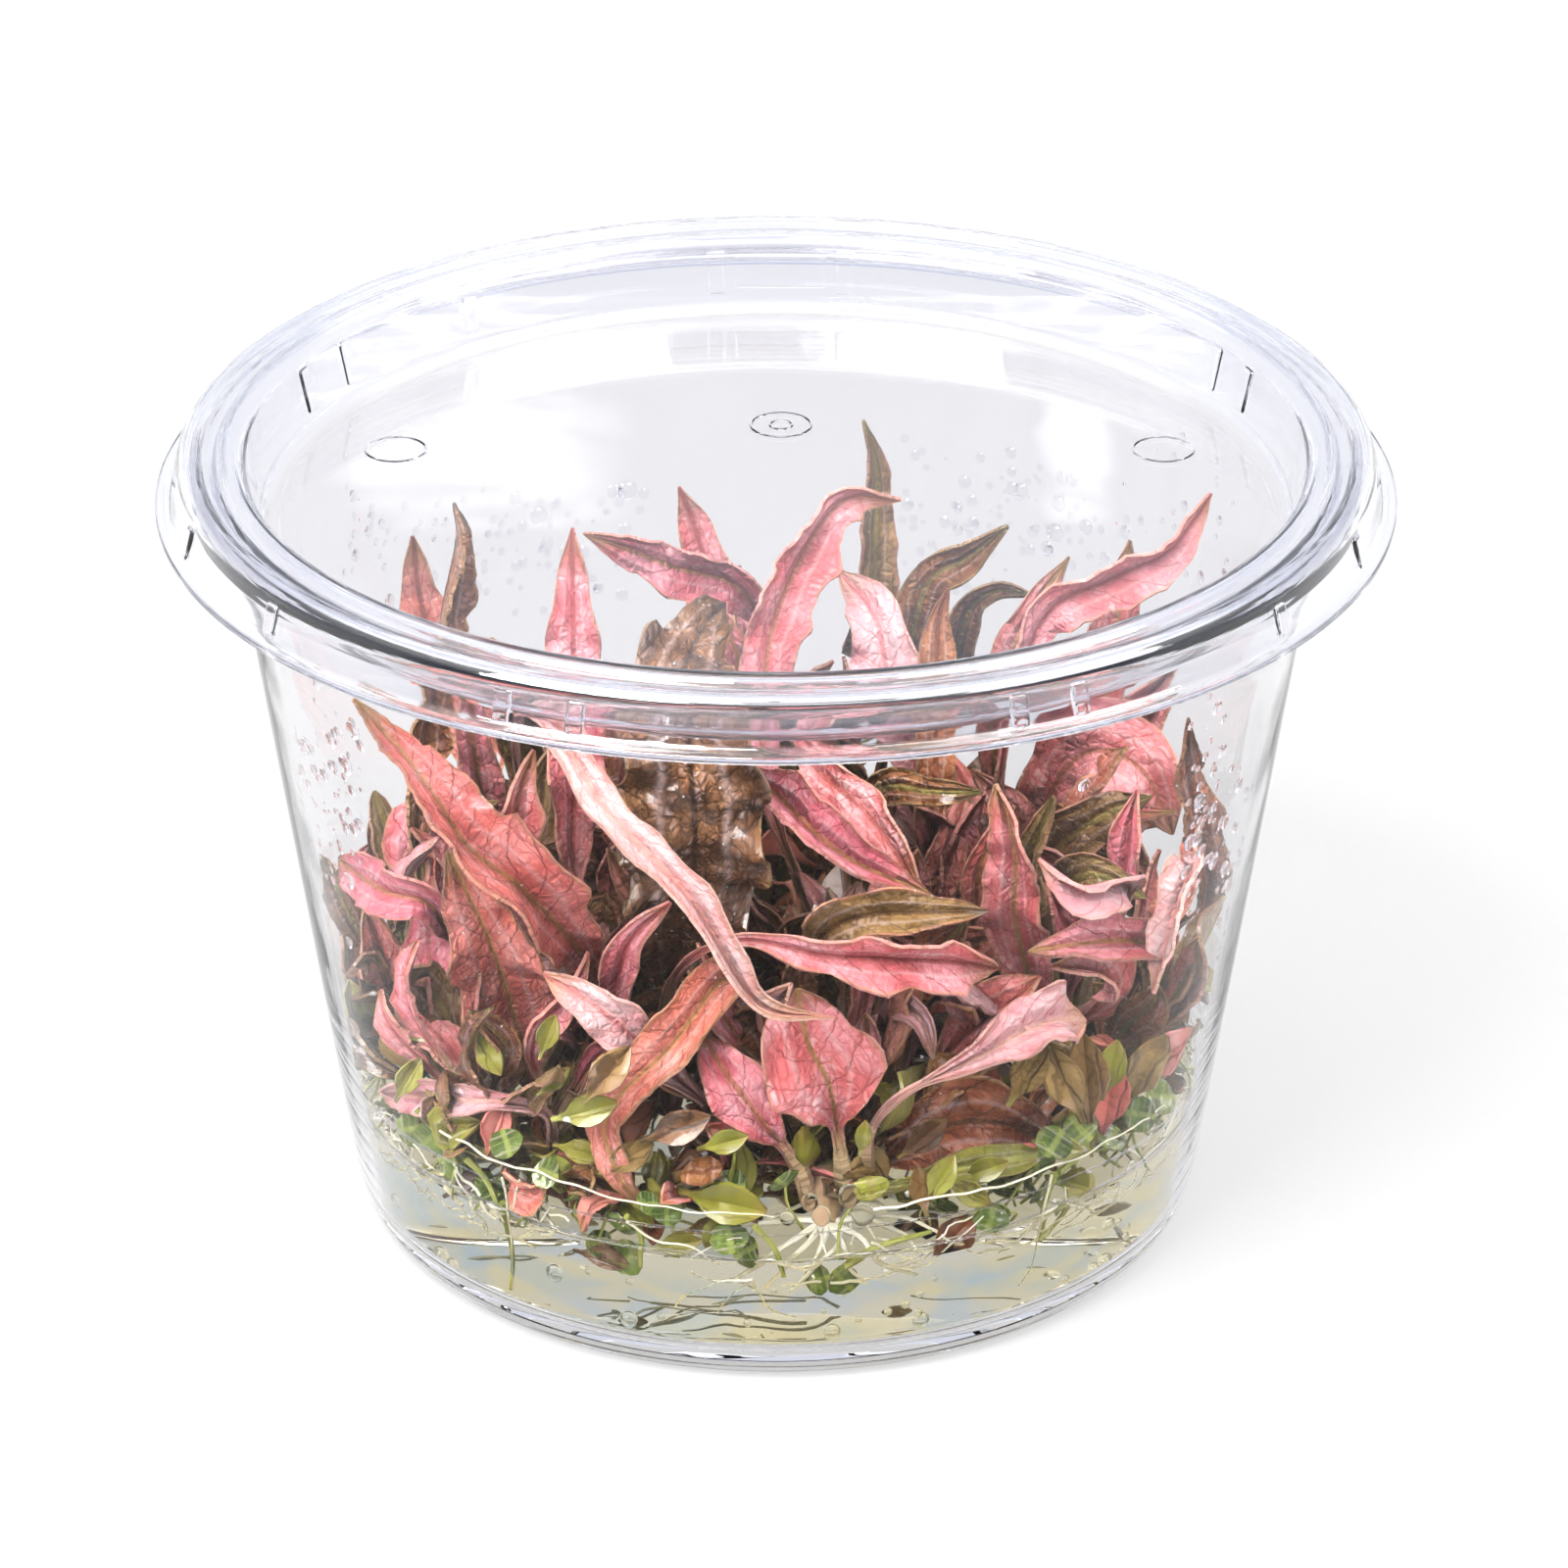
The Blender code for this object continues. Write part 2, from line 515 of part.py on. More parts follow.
def tuft(name, place, parts, cutters):
    """A tuft of round leaves along a short stem on the gel."""
    x, y, bearing = place
    angle = math.radians(bearing)
    run = Vector((math.cos(angle), math.sin(angle), 0.0))
    side = Vector((-run.y, run.x, 0.0))
    middle = Vector((x, y, GEL_TOP + TUFT_RISE))
    bpy.ops.mesh.primitive_cylinder_add(vertices=6, radius=TUFT_STEM_R * MM, depth=TUFT_LENGTH * MM)
    stem = bpy.context.object
    stem.rotation_euler = (math.radians(90), 0.0, angle + math.radians(90))
    stem.location = middle * MM
    finish(stem, f"tuft_{name}", "green", parts)
    for i in range(TUFT_LEAVES):
        share = i / (TUFT_LEAVES - 1) - 0.5
        away = TUFT_SPREAD if i % 2 else -TUFT_SPREAD
        spot = middle + run * share * TUFT_LENGTH * 0.85 + side * away + Vector((0, 0, 0.5 + i % 3 * 0.5))
        bpy.ops.mesh.primitive_ico_sphere_add(subdivisions=1, radius=1.0)
        disc = bpy.context.object
        disc.scale = [half * MM for half in ROUND_SIZE]
        disc.rotation_euler = (0.35 * away, 0.2 * share, angle)
        disc.location = spot * MM
        boolean(stem, finish(disc, f"round_{name}_{i}", "green", cutters), "UNION")
    return stem


def main():
    clear_scene()
    parts = bpy.data.collections.new("cryptocoryne")
    cutters = bpy.data.collections.new("cutters")
    bpy.context.scene.collection.children.link(parts)
    bpy.context.scene.collection.children.link(cutters)
    cup(parts)
    lid(parts, cutters)
    gel(parts, cutters)
    for name in CROWNS:
        crown(name, parts, cutters)
    for row in LEAVES:
        leaf(row, parts)
    for name, place in TUFTS.items():
        tuft(name, place, parts, cutters)
    for cutter in cutters.objects:
        cutter.hide_render = True
        cutter.display_type = "WIRE"


main()
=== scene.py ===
# %% [markdown]
# Cryptocoryne in a culture cup. A tub of clear plastic holds a cake of gel, and in it stand nine little
# plants with pink and brown leaves. This lesson dresses a plain CAD model, the frame, with fine meshes and
# materials. Each cell does one thing. The sizes of the pieces are in millimetres and turn into metres where
# a mesh is made. The camera, the lamps and the patterns of the materials are in metres.

# %% Load the frame
import math
import random

import bpy
import numpy as np
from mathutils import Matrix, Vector, noise


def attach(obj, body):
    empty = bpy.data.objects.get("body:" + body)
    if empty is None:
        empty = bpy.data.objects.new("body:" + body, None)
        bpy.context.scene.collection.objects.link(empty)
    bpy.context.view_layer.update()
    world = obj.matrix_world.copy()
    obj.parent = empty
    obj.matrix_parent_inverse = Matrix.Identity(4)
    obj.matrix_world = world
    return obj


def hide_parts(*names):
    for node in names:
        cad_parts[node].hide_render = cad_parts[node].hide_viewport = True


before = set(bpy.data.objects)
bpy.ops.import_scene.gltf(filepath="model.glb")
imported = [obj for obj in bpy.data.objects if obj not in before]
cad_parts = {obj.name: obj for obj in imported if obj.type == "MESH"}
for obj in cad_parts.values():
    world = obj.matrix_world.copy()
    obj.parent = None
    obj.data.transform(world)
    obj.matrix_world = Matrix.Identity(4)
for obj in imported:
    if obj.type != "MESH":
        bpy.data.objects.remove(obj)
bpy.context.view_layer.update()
MM = 0.001

# %% [markdown]
# Everything grows inside a cup whose wall leans out, so its radius at each height is needed all through the
# file. These sizes are the CAD model's own. Two helpers keep points inside the wall: one for a single point
# of a path, and one for all the vertices of a leaf, which presses them flat against the plastic as a real
# leaf would be.

# %% Sizes of the cup
HEIGHT = 81.0
RIM_TOP = 79.0
PANEL_TOP = 73.2
SKIN = 0.9
FOOT_R = 40.4
FLOOR_TOP = 2.2
WALL = 1.0
WALL_R0 = 42.1
WALL_SLOPE = 0.143
GEL_TOP = 13.0
HIGHEST = 68.0
SMALL_LOWEST = FLOOR_TOP + 0.2


def wall_radius(z):
    """Outer radius of the cup's wall at a height."""
    return WALL_R0 + WALL_SLOPE * z


def inside(point, margin=1.5):
    """A point moved in if it is nearer to the wall than a margin, and kept between the gel and the lid."""
    x, y, z = point
    limit = wall_radius(z) - WALL - margin
    scale = min(1.0, limit / max(math.hypot(x, y), 0.01))
    return (x * scale, y * scale, max(min(z, HIGHEST), GEL_TOP + 1.5))


def hold_inside(places, margin=0.4, lowest=SMALL_LOWEST):
    """Vertices pressed back to the inner side of the wall, under the lid and over a lowest level."""
    r = np.hypot(places[:, 0], places[:, 1])
    scale = np.minimum(1.0, (wall_radius(places[:, 2]) - WALL - margin) / np.maximum(r, 0.01))
    top = np.minimum(places[:, 2], PANEL_TOP - SKIN - margin)
    return np.column_stack([places[:, 0] * scale, places[:, 1] * scale, np.maximum(top, lowest)])


print("inner radius at the gel:", round(wall_radius(GEL_TOP) - WALL, 2), "mm")

# %% [markdown]
# The camera comes before all the pieces, because every later look at the work goes through it. It stands
# 0.6 m in front of the cup and 0.346 m up, with a long lens, and looks down by 26.8 degrees. A small shift
# centres the cup.

# %% Camera
CAMERA_PLACE = (0.0, -0.6, 0.346)
CAMERA_DOWN = 26.77
CAMERA_LENS = 155.8
CAMERA_SHIFT = 8.1 / 1600
SENSOR_WIDTH = 36.0

scene = bpy.context.scene
camera = bpy.data.objects.new("camera", bpy.data.cameras.new("camera"))
scene.collection.objects.link(camera)
camera.location = CAMERA_PLACE
camera.rotation_euler = (math.radians(90 - CAMERA_DOWN), 0.0, 0.0)
camera.data.sensor_width = SENSOR_WIDTH
camera.data.lens = CAMERA_LENS
camera.data.shift_x = CAMERA_SHIFT
camera.data.clip_start = 0.01
scene.camera = camera
print("camera: lens", CAMERA_LENS, "mm, looking down", CAMERA_DOWN, "degrees")

# %% [markdown]
# Some small things by the wall are set where the photo shows them. One helper sends a ray from the camera
# through a pixel of the photo and gives the place where it meets the wall's inner side, at any distance in
# from it. The other goes the opposite way, from a place to its pixel, so that the code can tell what would
# hide what.

# %% Places from the photo
PHOTO_SIZE = 1600.0
PHOTO_MIDDLE = 800.0
PIXELS_PER_UNIT = CAMERA_LENS / SENSOR_WIDTH * PHOTO_SIZE


def wall_spot(pixel, inset=0.0, far=False):
    """Where the ray through a pixel of the photo comes within an inset of the wall's inner side."""
    down = math.radians(CAMERA_DOWN)
    right = (pixel[0] - PHOTO_MIDDLE + CAMERA_SHIFT * PHOTO_SIZE) / PIXELS_PER_UNIT
    up = (PHOTO_MIDDLE - pixel[1]) / PIXELS_PER_UNIT
    ray = np.array([right, math.cos(down) + up * math.sin(down), up * math.cos(down) - math.sin(down)])
    x, y, z = (c / MM for c in CAMERA_PLACE)
    base = WALL_R0 - WALL - inset + WALL_SLOPE * z
    a = ray[0] ** 2 + ray[1] ** 2 - (WALL_SLOPE * ray[2]) ** 2
    b = 2 * (x * ray[0] + y * ray[1] - WALL_SLOPE * ray[2] * base)
    root = math.sqrt(max(b * b - 4 * a * (x * x + y * y - base * base), 0.0))
    reach = (-b + (root if far else -root)) / (2 * a)
    return np.array([x, y, z]) + ray * reach


def pixel_of(place):
    """The pixel of the photo at which a place shows."""
    down = math.radians(CAMERA_DOWN)
    x, y, z = (place[k] - CAMERA_PLACE[k] / MM for k in range(3))
    forward = y * math.cos(down) - z * math.sin(down)
    up = y * math.sin(down) + z * math.cos(down)
    right = x / forward * PIXELS_PER_UNIT - CAMERA_SHIFT * PHOTO_SIZE
    return PHOTO_MIDDLE + right, PHOTO_MIDDLE - up / forward * PIXELS_PER_UNIT


print("the front plant's foot shows at", [round(c) for c in pixel_of((5.0, -30.0, 15.0))])

# %% [markdown]
# A white sky gives the even light of a product picture. Clear plastic only shows where it bends light from
# something darker, so the sky isn't all white: a blue grey band runs round it low down, the part behind the
# cup is darker too, and so is the room on the camera's side, as in a studio. One wide lamp from the upper
# left gives the leaves their shape, and a weaker one fills in. Two soft boxes in the sky behind the cup are
# there for the lid, which mirrors them as pale patches of glare. Light runs along inside the thin plastic
# and is mirrored many times there. Each time counts as a glossy bounce, and the usual limit of four would
# leave black lines at the foot and in the rim.

# %% Floor, sky and lamps
FLOOR_SIZE = 8.0
FLOOR_GLOW = 0.53
SKY_WHITE = 1.9
SKY_BAND = (0.86, 0.89, 0.98)
SKY_BEHIND = (0.66, 0.68, 0.76)
SKY_ROOM = (0.32, 0.33, 0.42)
SOFT_BOX = (1.4, 1.4, 1.45)
LAMP_SIZE = 0.6
LAMP_TARGET = (0.0, 0.0, 0.04)
KEY_PLACE = (-0.42, -0.50, 0.85)
KEY_POWER = 31.0
FILL_PLACE = (0.55, -0.30, 0.75)
FILL_POWER = 8.0
BOUNCES = 24
DIFFUSE_BOUNCES = 1


def lamp(name, place, power):
    """A square soft lamp that points at the plants."""
    obj = bpy.data.objects.new(name, bpy.data.lights.new(name, "AREA"))
    obj.data.size = LAMP_SIZE
    obj.data.energy = power
    obj.location = place
    obj.rotation_euler = (Vector(LAMP_TARGET) - Vector(place)).to_track_quat("-Z", "Y").to_euler()
    scene.collection.objects.link(obj)


lamp("key", KEY_PLACE, KEY_POWER)
lamp("fill", FILL_PLACE, FILL_POWER)
scene.cycles.max_bounces = BOUNCES
scene.cycles.transmission_bounces = BOUNCES
scene.cycles.glossy_bounces = BOUNCES
scene.cycles.diffuse_bounces = DIFFUSE_BOUNCES
scene.view_settings.view_transform = "Standard"
scene.view_settings.look = "Medium High Contrast"

# %% [markdown]
# Shader maths reads best as plain sums. This class wraps a node's output so that + - * / make Math nodes,
# and its one method, node, adds any other node from its type, its settings and what its sockets hold.

# %% A socket that does sums
class Signal:
    """A node's output in a material's tree."""

    def __init__(self, tree, socket=None):
        self.tree = tree
        self.socket = socket

    def node(self, kind, settings=None, inputs=None, output=0):
        """Add a node and give back one of its outputs."""
        made = self.tree.nodes.new(kind)
        for name, value in (settings or {}).items():
            setattr(made, name, value)
        for name, value in (inputs or {}).items():
            if isinstance(value, Signal):
                self.tree.links.new(value.socket, made.inputs[name])
            else:
                made.inputs[name].default_value = value
        return Signal(self.tree, made.outputs[output])

    def maths(self, operation, a, b=0.0):
        return self.node("ShaderNodeMath", {"operation": operation}, {0: a, 1: b})

    def __add__(self, other):
        return self.maths("ADD", self, other)

    def __radd__(self, other):
        return self.maths("ADD", other, self)

    def __sub__(self, other):
        return self.maths("SUBTRACT", self, other)

    def __rsub__(self, other):
        return self.maths("SUBTRACT", other, self)

    def __mul__(self, other):
        return self.maths("MULTIPLY", self, other)

    def __rmul__(self, other):
        return self.maths("MULTIPLY", other, self)

    def __truediv__(self, other):
        return self.maths("DIVIDE", self, other)

    def __abs__(self):
        return self.maths("ABSOLUTE", self)

    def fraction(self):
        return self.maths("FRACT", self)

    def most(self, other):
        return self.maths("MAXIMUM", self, other)

    def step(self, low, high):
        """0 below low, 1 above high, and smooth between them; high may be the lower one."""
        settings = {"interpolation_type": "SMOOTHSTEP"}
        return self.node("ShaderNodeMapRange", settings, {"Value": self, "From Min": low, "From Max": high})

    def mix(self, a, b):
        """Colour a where this is 0 and colour b where it is 1."""
        a = a if isinstance(a, Signal) else (*a, 1.0)
        b = b if isinstance(b, Signal) else (*b, 1.0)
        return self.node("ShaderNodeMix", {"data_type": "RGBA"}, {0: self, 6: a, 7: b}, 2)

    def part(self, letter):
        """One coordinate of a vector."""
        return self.node("ShaderNodeSeparateXYZ", {}, {0: self}, "XYZ".index(letter))


def paint(name):
    """A new material, its tree as a Signal and its Principled shader."""
    material = bpy.data.materials.new(name)
    material.use_nodes = True
    shader = material.node_tree.nodes["Principled BSDF"]
    return material, Signal(material.node_tree), shader


def feed(shader, **values):
    """Set or link the sockets of a shader, whose names are written with _ for spaces."""
    for name, value in values.items():
        socket = shader.inputs[name.replace("_", " ")]
        if isinstance(value, Signal):
            value.tree.links.new(value.socket, socket)
        else:
            socket.default_value = (*value, 1.0) if isinstance(value, tuple) else value


print("signal maths ready")

# %% [markdown]
# The floor is a lit table: a plane with the faintest unevenness that also glows a little, which keeps the
# shadow short and soft and lights the gel from below. The sky has no picture: its colour depends on the
# direction alone.

# %% Floor and sky
FLOOR_DARK = (0.112, 0.112, 0.112)
FLOOR_LIGHT = (0.118, 0.118, 0.118)
FLOOR_DROP = 0.0001
BAND_HEIGHT = 0.30
BEHIND_HEIGHT = 0.42
ROOM_HEIGHT = 0.22
BROAD_BOX = (-0.045, 0.412)
NARROW_BOX = (0.0445, 0.405)

bpy.ops.object.select_all(action="DESELECT")
bpy.ops.mesh.primitive_plane_add(size=FLOOR_SIZE, location=(0.0, 0.0, -FLOOR_DROP))
floor = bpy.context.object
floor.name = "floor"
material, tree, shader = paint("floor_white")
uneven = tree.node("ShaderNodeTexNoise", {}, {"Scale": 3.0})
feed(shader, Base_Color=uneven.step(0.3, 0.7).mix(FLOOR_DARK, FLOOR_LIGHT), Roughness=0.8)
feed(shader, Emission_Color=(1.0, 1.0, 1.0), Emission_Strength=FLOOR_GLOW, Specular_IOR_Level=0.2)
floor.data.materials.append(material)

world = bpy.data.worlds.new("sky")
world.use_nodes = True
scene.world = world
sky = Signal(world.node_tree)
direction = sky.node("ShaderNodeTexCoord")
height = direction.part("Z")
depth = direction.part("Y")
band = abs(height - BAND_HEIGHT).step(0.42, 0.18)
behind = abs(height - BEHIND_HEIGHT).step(0.34, 0.22) * depth.step(0.35, 0.60)
sideways = direction.part("X")
slanted = height - sideways * 0.15
broad_box = abs(sideways - BROAD_BOX[0]).step(0.026, 0.012) * abs(slanted - BROAD_BOX[1]).step(0.012, 0.004)
narrow_box = abs(sideways - NARROW_BOX[0]).step(0.006, 0.002) * abs(height - NARROW_BOX[1]).step(0.013, 0.005)
boxes = broad_box.most(narrow_box) * depth.step(0.5, 0.6)
room = abs(height - ROOM_HEIGHT).step(0.26, 0.14) * depth.step(-0.20, -0.45)
colour = behind.mix(band.mix((SKY_WHITE, SKY_WHITE, SKY_WHITE), SKY_BAND), SKY_BEHIND)
colour = room.mix(colour, SKY_ROOM)
background = world.node_tree.nodes["Background"]
feed(background, Color=boxes.mix(colour, SOFT_BOX), Strength=1.0)
print("floor and sky made")

# %% [markdown]
# Most pieces here are thin things that follow a line in space: leaves, stalks, roots. These helpers turn a
# few points into an even smooth path, and give the direction and the side of the path at each of its
# points.

# %% Paths
FACING = np.array((0.0, -0.89, 0.45))


def smooth_path(points, step):
    """Points about a step apart on a smooth curve through the given ones."""
    points = [np.array(p, float) for p in points]
    ends = [points[0] * 2 - points[1], *points, points[-1] * 2 - points[-2]]
    t = np.linspace(0.0, 1.0, 12, endpoint=False)[:, None]
    fine = []
    for a, b, c, d in zip(ends, ends[1:], ends[2:], ends[3:]):
        square = 2 * a - 5 * b + 4 * c - d
        cube = 3 * b - a - 3 * c + d
        fine.append(0.5 * (2 * b + (c - a) * t + square * t**2 + cube * t**3))
    fine = np.vstack([*fine, points[-1][None]])
    lengths = np.concatenate([[0.0], np.cumsum(np.linalg.norm(np.diff(fine, axis=0), axis=1))])
    count = max(round(lengths[-1] / step), 6)
    want = np.linspace(0.0, lengths[-1], count + 1)
    return np.column_stack([np.interp(want, lengths, fine[:, k]) for k in range(3)])


def unit(vectors):
    """Each row made one long."""
    return vectors / np.maximum(np.linalg.norm(vectors, axis=-1, keepdims=True), 1e-9)


def along_path(path, roll, facing):
    """For each point of a path: its direction, its side and its face, turned by a roll that runs along it."""
    run = unit(np.gradient(path, axis=0))
    side = unit(np.cross(run, facing))
    turn = np.radians(np.linspace(roll[0], roll[1], len(path)))[:, None]
    side = side * np.cos(turn) + np.cross(run, side) * np.sin(turn)
    return run, side, np.cross(side, run)


def rough(places, scale, seed):
    """Smooth random numbers from -1 to 1 at places in millimetres."""
    return np.array([noise.noise(Vector(p * scale) + Vector((seed * 7.3, 1.7, 4.1))) for p in places])


print("path of two points:", len(smooth_path([(0, 0, 0), (0, 0, 10)], 1.0)), "points")

# %% [markdown]
# A blade starts as a flat grid. Its columns run across the leaf and its rows along it, so each vertex knows
# its share across and along, and the code sets it where the leaf's own curve, width, fold and ruffled edge
# put it. A real leaf is folded along its midrib, more in some places than in others, its margin is ruffled
# by short waves, its tip hooks over, and its surface is puckered between the veins. Each of these is one
# term of the sum. Two UV maps go with it: one in shares, for edges and tips, and one in millimetres, for
# veins of a real size.

# %% Leaf blade
STALK_HALF = 0.5
TIP_HALF = 0.12
BASE_TAPER = 1.15
TIP_TAPER = 0.8
BLADE_THICKNESS = 0.35
MIDRIB_SINK = 0.22
COLUMN_WIDTH = 2.8
HOOK_FROM = 0.78


def half_width(along, width, peak, stalk, slim=STALK_HALF, base=BASE_TAPER):
    """Half the width of a leaf at shares of its length."""
    share = np.clip((along - stalk) / (1 - stalk), 0.0, 1.0)
    taper = np.where(share < peak, base, TIP_TAPER)
    swell = np.maximum(np.sin(np.pi * share ** (math.log(0.5) / math.log(peak))), 0.0) ** taper
    swollen = np.maximum(np.maximum(TIP_HALF, slim * (1 - share)), width / 2 * swell)
    return np.where(along <= stalk, slim, swollen)


def set_maps(mesh, shares, lengths, tone, under=None):
    """Give each vertex its place in both UV maps, a tone, and 1 for the underside of a leaf."""
    corners = np.empty(len(mesh.loops), int)
    mesh.loops.foreach_get("vertex_index", corners)
    for name, values in (("leaf", shares), ("mm", lengths)):
        layer = mesh.uv_layers.get(name) or mesh.uv_layers.new(name=name)
        layer.data.foreach_set("uv", values[corners].astype(np.float32).ravel())
    for layer in [layer for layer in mesh.uv_layers if layer.name not in ("leaf", "mm")]:
        mesh.uv_layers.remove(layer)
    count = len(mesh.vertices)
    under = np.zeros(count) if under is None else under
    for name, values in (("tone", np.broadcast_to(tone, count)), ("under", under)):
        layer = mesh.attributes.get(name) or mesh.attributes.new(name, "FLOAT", "POINT")
        layer.data.foreach_set("value", values.astype(np.float32))


def coordinates(mesh):
    """The mesh's vertices in millimetres, one row each."""
    co = np.empty(len(mesh.vertices) * 3)
    mesh.vertices.foreach_get("co", co)
    return co.reshape(-1, 3) / MM


def blade(path, width, peak, stalk, roll=(0, 0), rise=0.5, wave=0.3, curl=0.0, crinkle=0.15, ruffle=0.16,
          hook=0.0, mesh_size=0.9, slim=STALK_HALF, base=BASE_TAPER, thick=BLADE_THICKNESS, seed=0,
          facing=FACING):
    """The flat part of one leaf, with its thickness; also the line of its midrib and the way it faces."""
    last = len(path) - 1
    columns = 4 + 2 * round(width / COLUMN_WIDTH / mesh_size)
    bpy.ops.mesh.primitive_grid_add(x_subdivisions=columns, y_subdivisions=last, size=2.0)
    obj = bpy.context.object
    mesh = obj.data
    flat = coordinates(mesh) * MM
    across = flat[:, 0]
    row = np.rint((flat[:, 1] + 1) / 2 * last).astype(int)
    along = row / last
    run, side, face = along_path(path, roll, facing)
    length = np.concatenate([[0.0], np.cumsum(np.linalg.norm(np.diff(path, axis=0), axis=1))])[row]
    half = half_width(along, width, peak, stalk, slim, base)
    half = half * (1 + 0.09 * np.sin(length * 0.9 + seed) * np.abs(across))
    wide = np.minimum(half / 2.2, 1.0)
    ripple = np.sin(length * 0.75 + seed * 2.1 + across * 0.9) + 0.5 * np.sin(length * 1.7 + seed)
    fold = rise * (1 + 0.7 * np.sin(length * 0.17 + seed * 3.1))
    lift = half * (fold * np.abs(across) + curl * across**2 + wave * across**2 * ripple * wide)
    lift += ruffle * wide * np.abs(across) ** 3 * np.sin(length * 3.3 + seed * 5.0 + np.sign(across) * 1.3)
    lift += hook * np.clip((along - HOOK_FROM) / (1 - HOOK_FROM), 0.0, 1.0) ** 2
    place = path[row] + side[row] * (across * half)[:, None] + face[row] * lift[:, None]
    pucker = crinkle * (rough(place, 0.45, seed) + 0.6 * rough(place, 1.1, seed)) * wide
    place = place + face[row] * (pucker - MIDRIB_SINK * wide * np.exp(-((across * half / 0.5) ** 2)))[:, None]
    place = hold_inside(place, lowest=GEL_TOP + 0.15)
    mesh.vertices.foreach_set("co", (place * MM).ravel())
    grown = (along - stalk) / (1 - stalk)
    shares = np.column_stack([across / 2 + 0.5, grown])
    set_maps(mesh, shares, np.column_stack([across * half, length]), seed % 1.0)
    solid = obj.modifiers.new("thickness", "SOLIDIFY")
    solid.thickness = thick * MM
    solid.offset = 0.0
    bpy.ops.object.modifier_apply(modifier=solid.name)
    count = len(place)
    shells = coordinates(mesh)
    second = np.sum((shells[count:] - shells[:count]) * face[row]) > 0
    under = np.repeat([1.0, 0.0] if second else [0.0, 1.0], count)
    mesh.attributes["under"].data.foreach_set("value", under.astype(np.float32))
    middle = np.abs(across) < 0.001
    return obj, place[middle][np.argsort(row[middle])], face


print("blade half width in the middle of a 6 mm leaf:", float(half_width(np.array([0.5]), 6, 0.5, 0.0)[0]))

# %% [markdown]
# The stalk is round, and it goes on into the blade as the midrib, thinner and thinner to the tip. A curve
# with a round section does this: each of its points carries its own radius. Once it is a mesh it joins its
# blade.

# %% Stalks, and joining pieces
STALK_R = 0.62
RIB_R = 0.27
RIB_BELOW = 0.1


def tubes(name, routes, sides=1):
    """One mesh of round tubes; a route is its points and the radius at each of them, in millimetres."""
    curve = bpy.data.curves.new(name, "CURVE")
    curve.dimensions = "3D"
    curve.bevel_depth = MM
    curve.bevel_resolution = sides
    curve.use_fill_caps = True
    for path, radii in routes:
        spline = curve.splines.new("POLY")
        spline.points.add(len(path) - 1)
        spline.points.foreach_set("co", np.column_stack([path * MM, np.ones(len(path))]).ravel())
        spline.points.foreach_set("radius", radii)
    obj = bpy.data.objects.new(name, curve)
    scene.collection.objects.link(obj)
    select([obj])
    bpy.ops.object.convert(target="MESH")
    return bpy.context.object


def select(objects):
    """Select only these objects, the first of them active."""
    bpy.ops.object.select_all(action="DESELECT")
    for obj in objects:
        obj.select_set(True)
    bpy.context.view_layer.objects.active = objects[0]


def join(name, objects):
    """Make several objects one."""
    select(objects)
    if len(objects) > 1:
        bpy.ops.object.join()
    obj = bpy.context.object
    obj.name = name
    obj.data.name = name
    return obj


def leaf(points, width, peak, stalk, look, seed=0, step=0.8, stalk_r=STALK_R, **form):
    """A blade and its stalk, with one material."""
    path = smooth_path(points, step)
    sheet, spine, face = blade(path, width, peak, stalk, seed=seed, **form)
    along = np.linspace(0.0, 1.0, len(path))
    radii = np.where(along < stalk, stalk_r, RIB_R * (1.05 - along) + 0.05)
    radii = np.convolve(np.pad(radii, 3, mode="edge"), np.ones(7) / 7, "valid")
    below = RIB_BELOW * np.clip((along - stalk) / 0.1, 0.0, 1.0)
    rib = tubes("rib", [(spine - face * below[:, None], radii)])
    co = coordinates(rib.data)
    near = np.argmin(((co[:, None] - spine[None]) ** 2).sum(2), axis=1)
    length = np.concatenate([[0.0], np.cumsum(np.linalg.norm(np.diff(spine, axis=0), axis=1))])[near]
    shares = np.column_stack([np.full(len(near), 0.5), (along[near] - stalk) / (1 - stalk)])
    set_maps(rib.data, shares, np.column_stack([np.zeros(len(near)), length]), seed % 1.0)
    made = join("leaf", [sheet, rib])
    made.data.materials.clear()
    made.data.materials.append(look)
    return made


print("stalk radius", STALK_R, "mm, midrib from", RIB_R, "mm")

# %% [markdown]
# Up close a leaf is a net of veins. A midrib runs down the middle, side veins leave it at an angle and bend
# towards the tip, and a fine net fills the rest. The side veins come from the millimetre map: a sum of the
# distance along and across, taken in fractions, gives even slanting lines. Cells of a Voronoi pattern make
# the net, and the same cells puff the surface up between the veins. The margin is a thin line: the distance
# to it is worked out from the two maps, in millimetres, so that it is as thin on a wide leaf as on a narrow
# one. Light and shade are painted into the colour as well: painted shade darkens the grooves along the net, a
# painted sheen lightens streaks on the raised parts and strips along the pleats, and painted highlights put
# near-white glints in damp patches. Low down in the middle of the cup, where little light falls, every leaf
# is painted darker and browner, as painted shade.

# %% Leaf paint
VEIN_PITCH = 2.9
NET_SIZE = 1.0
PLEATS = 1.7
MARGIN_WIDTH = 0.24
STALK_CREAM = (0.72, 0.52, 0.30)
# Painted highlights: a pale sheen and near-white glints, painted into the colour.
PAINTED_SHEEN = (1.0, 0.80, 0.76)
GLINT = (1.0, 0.97, 0.93)


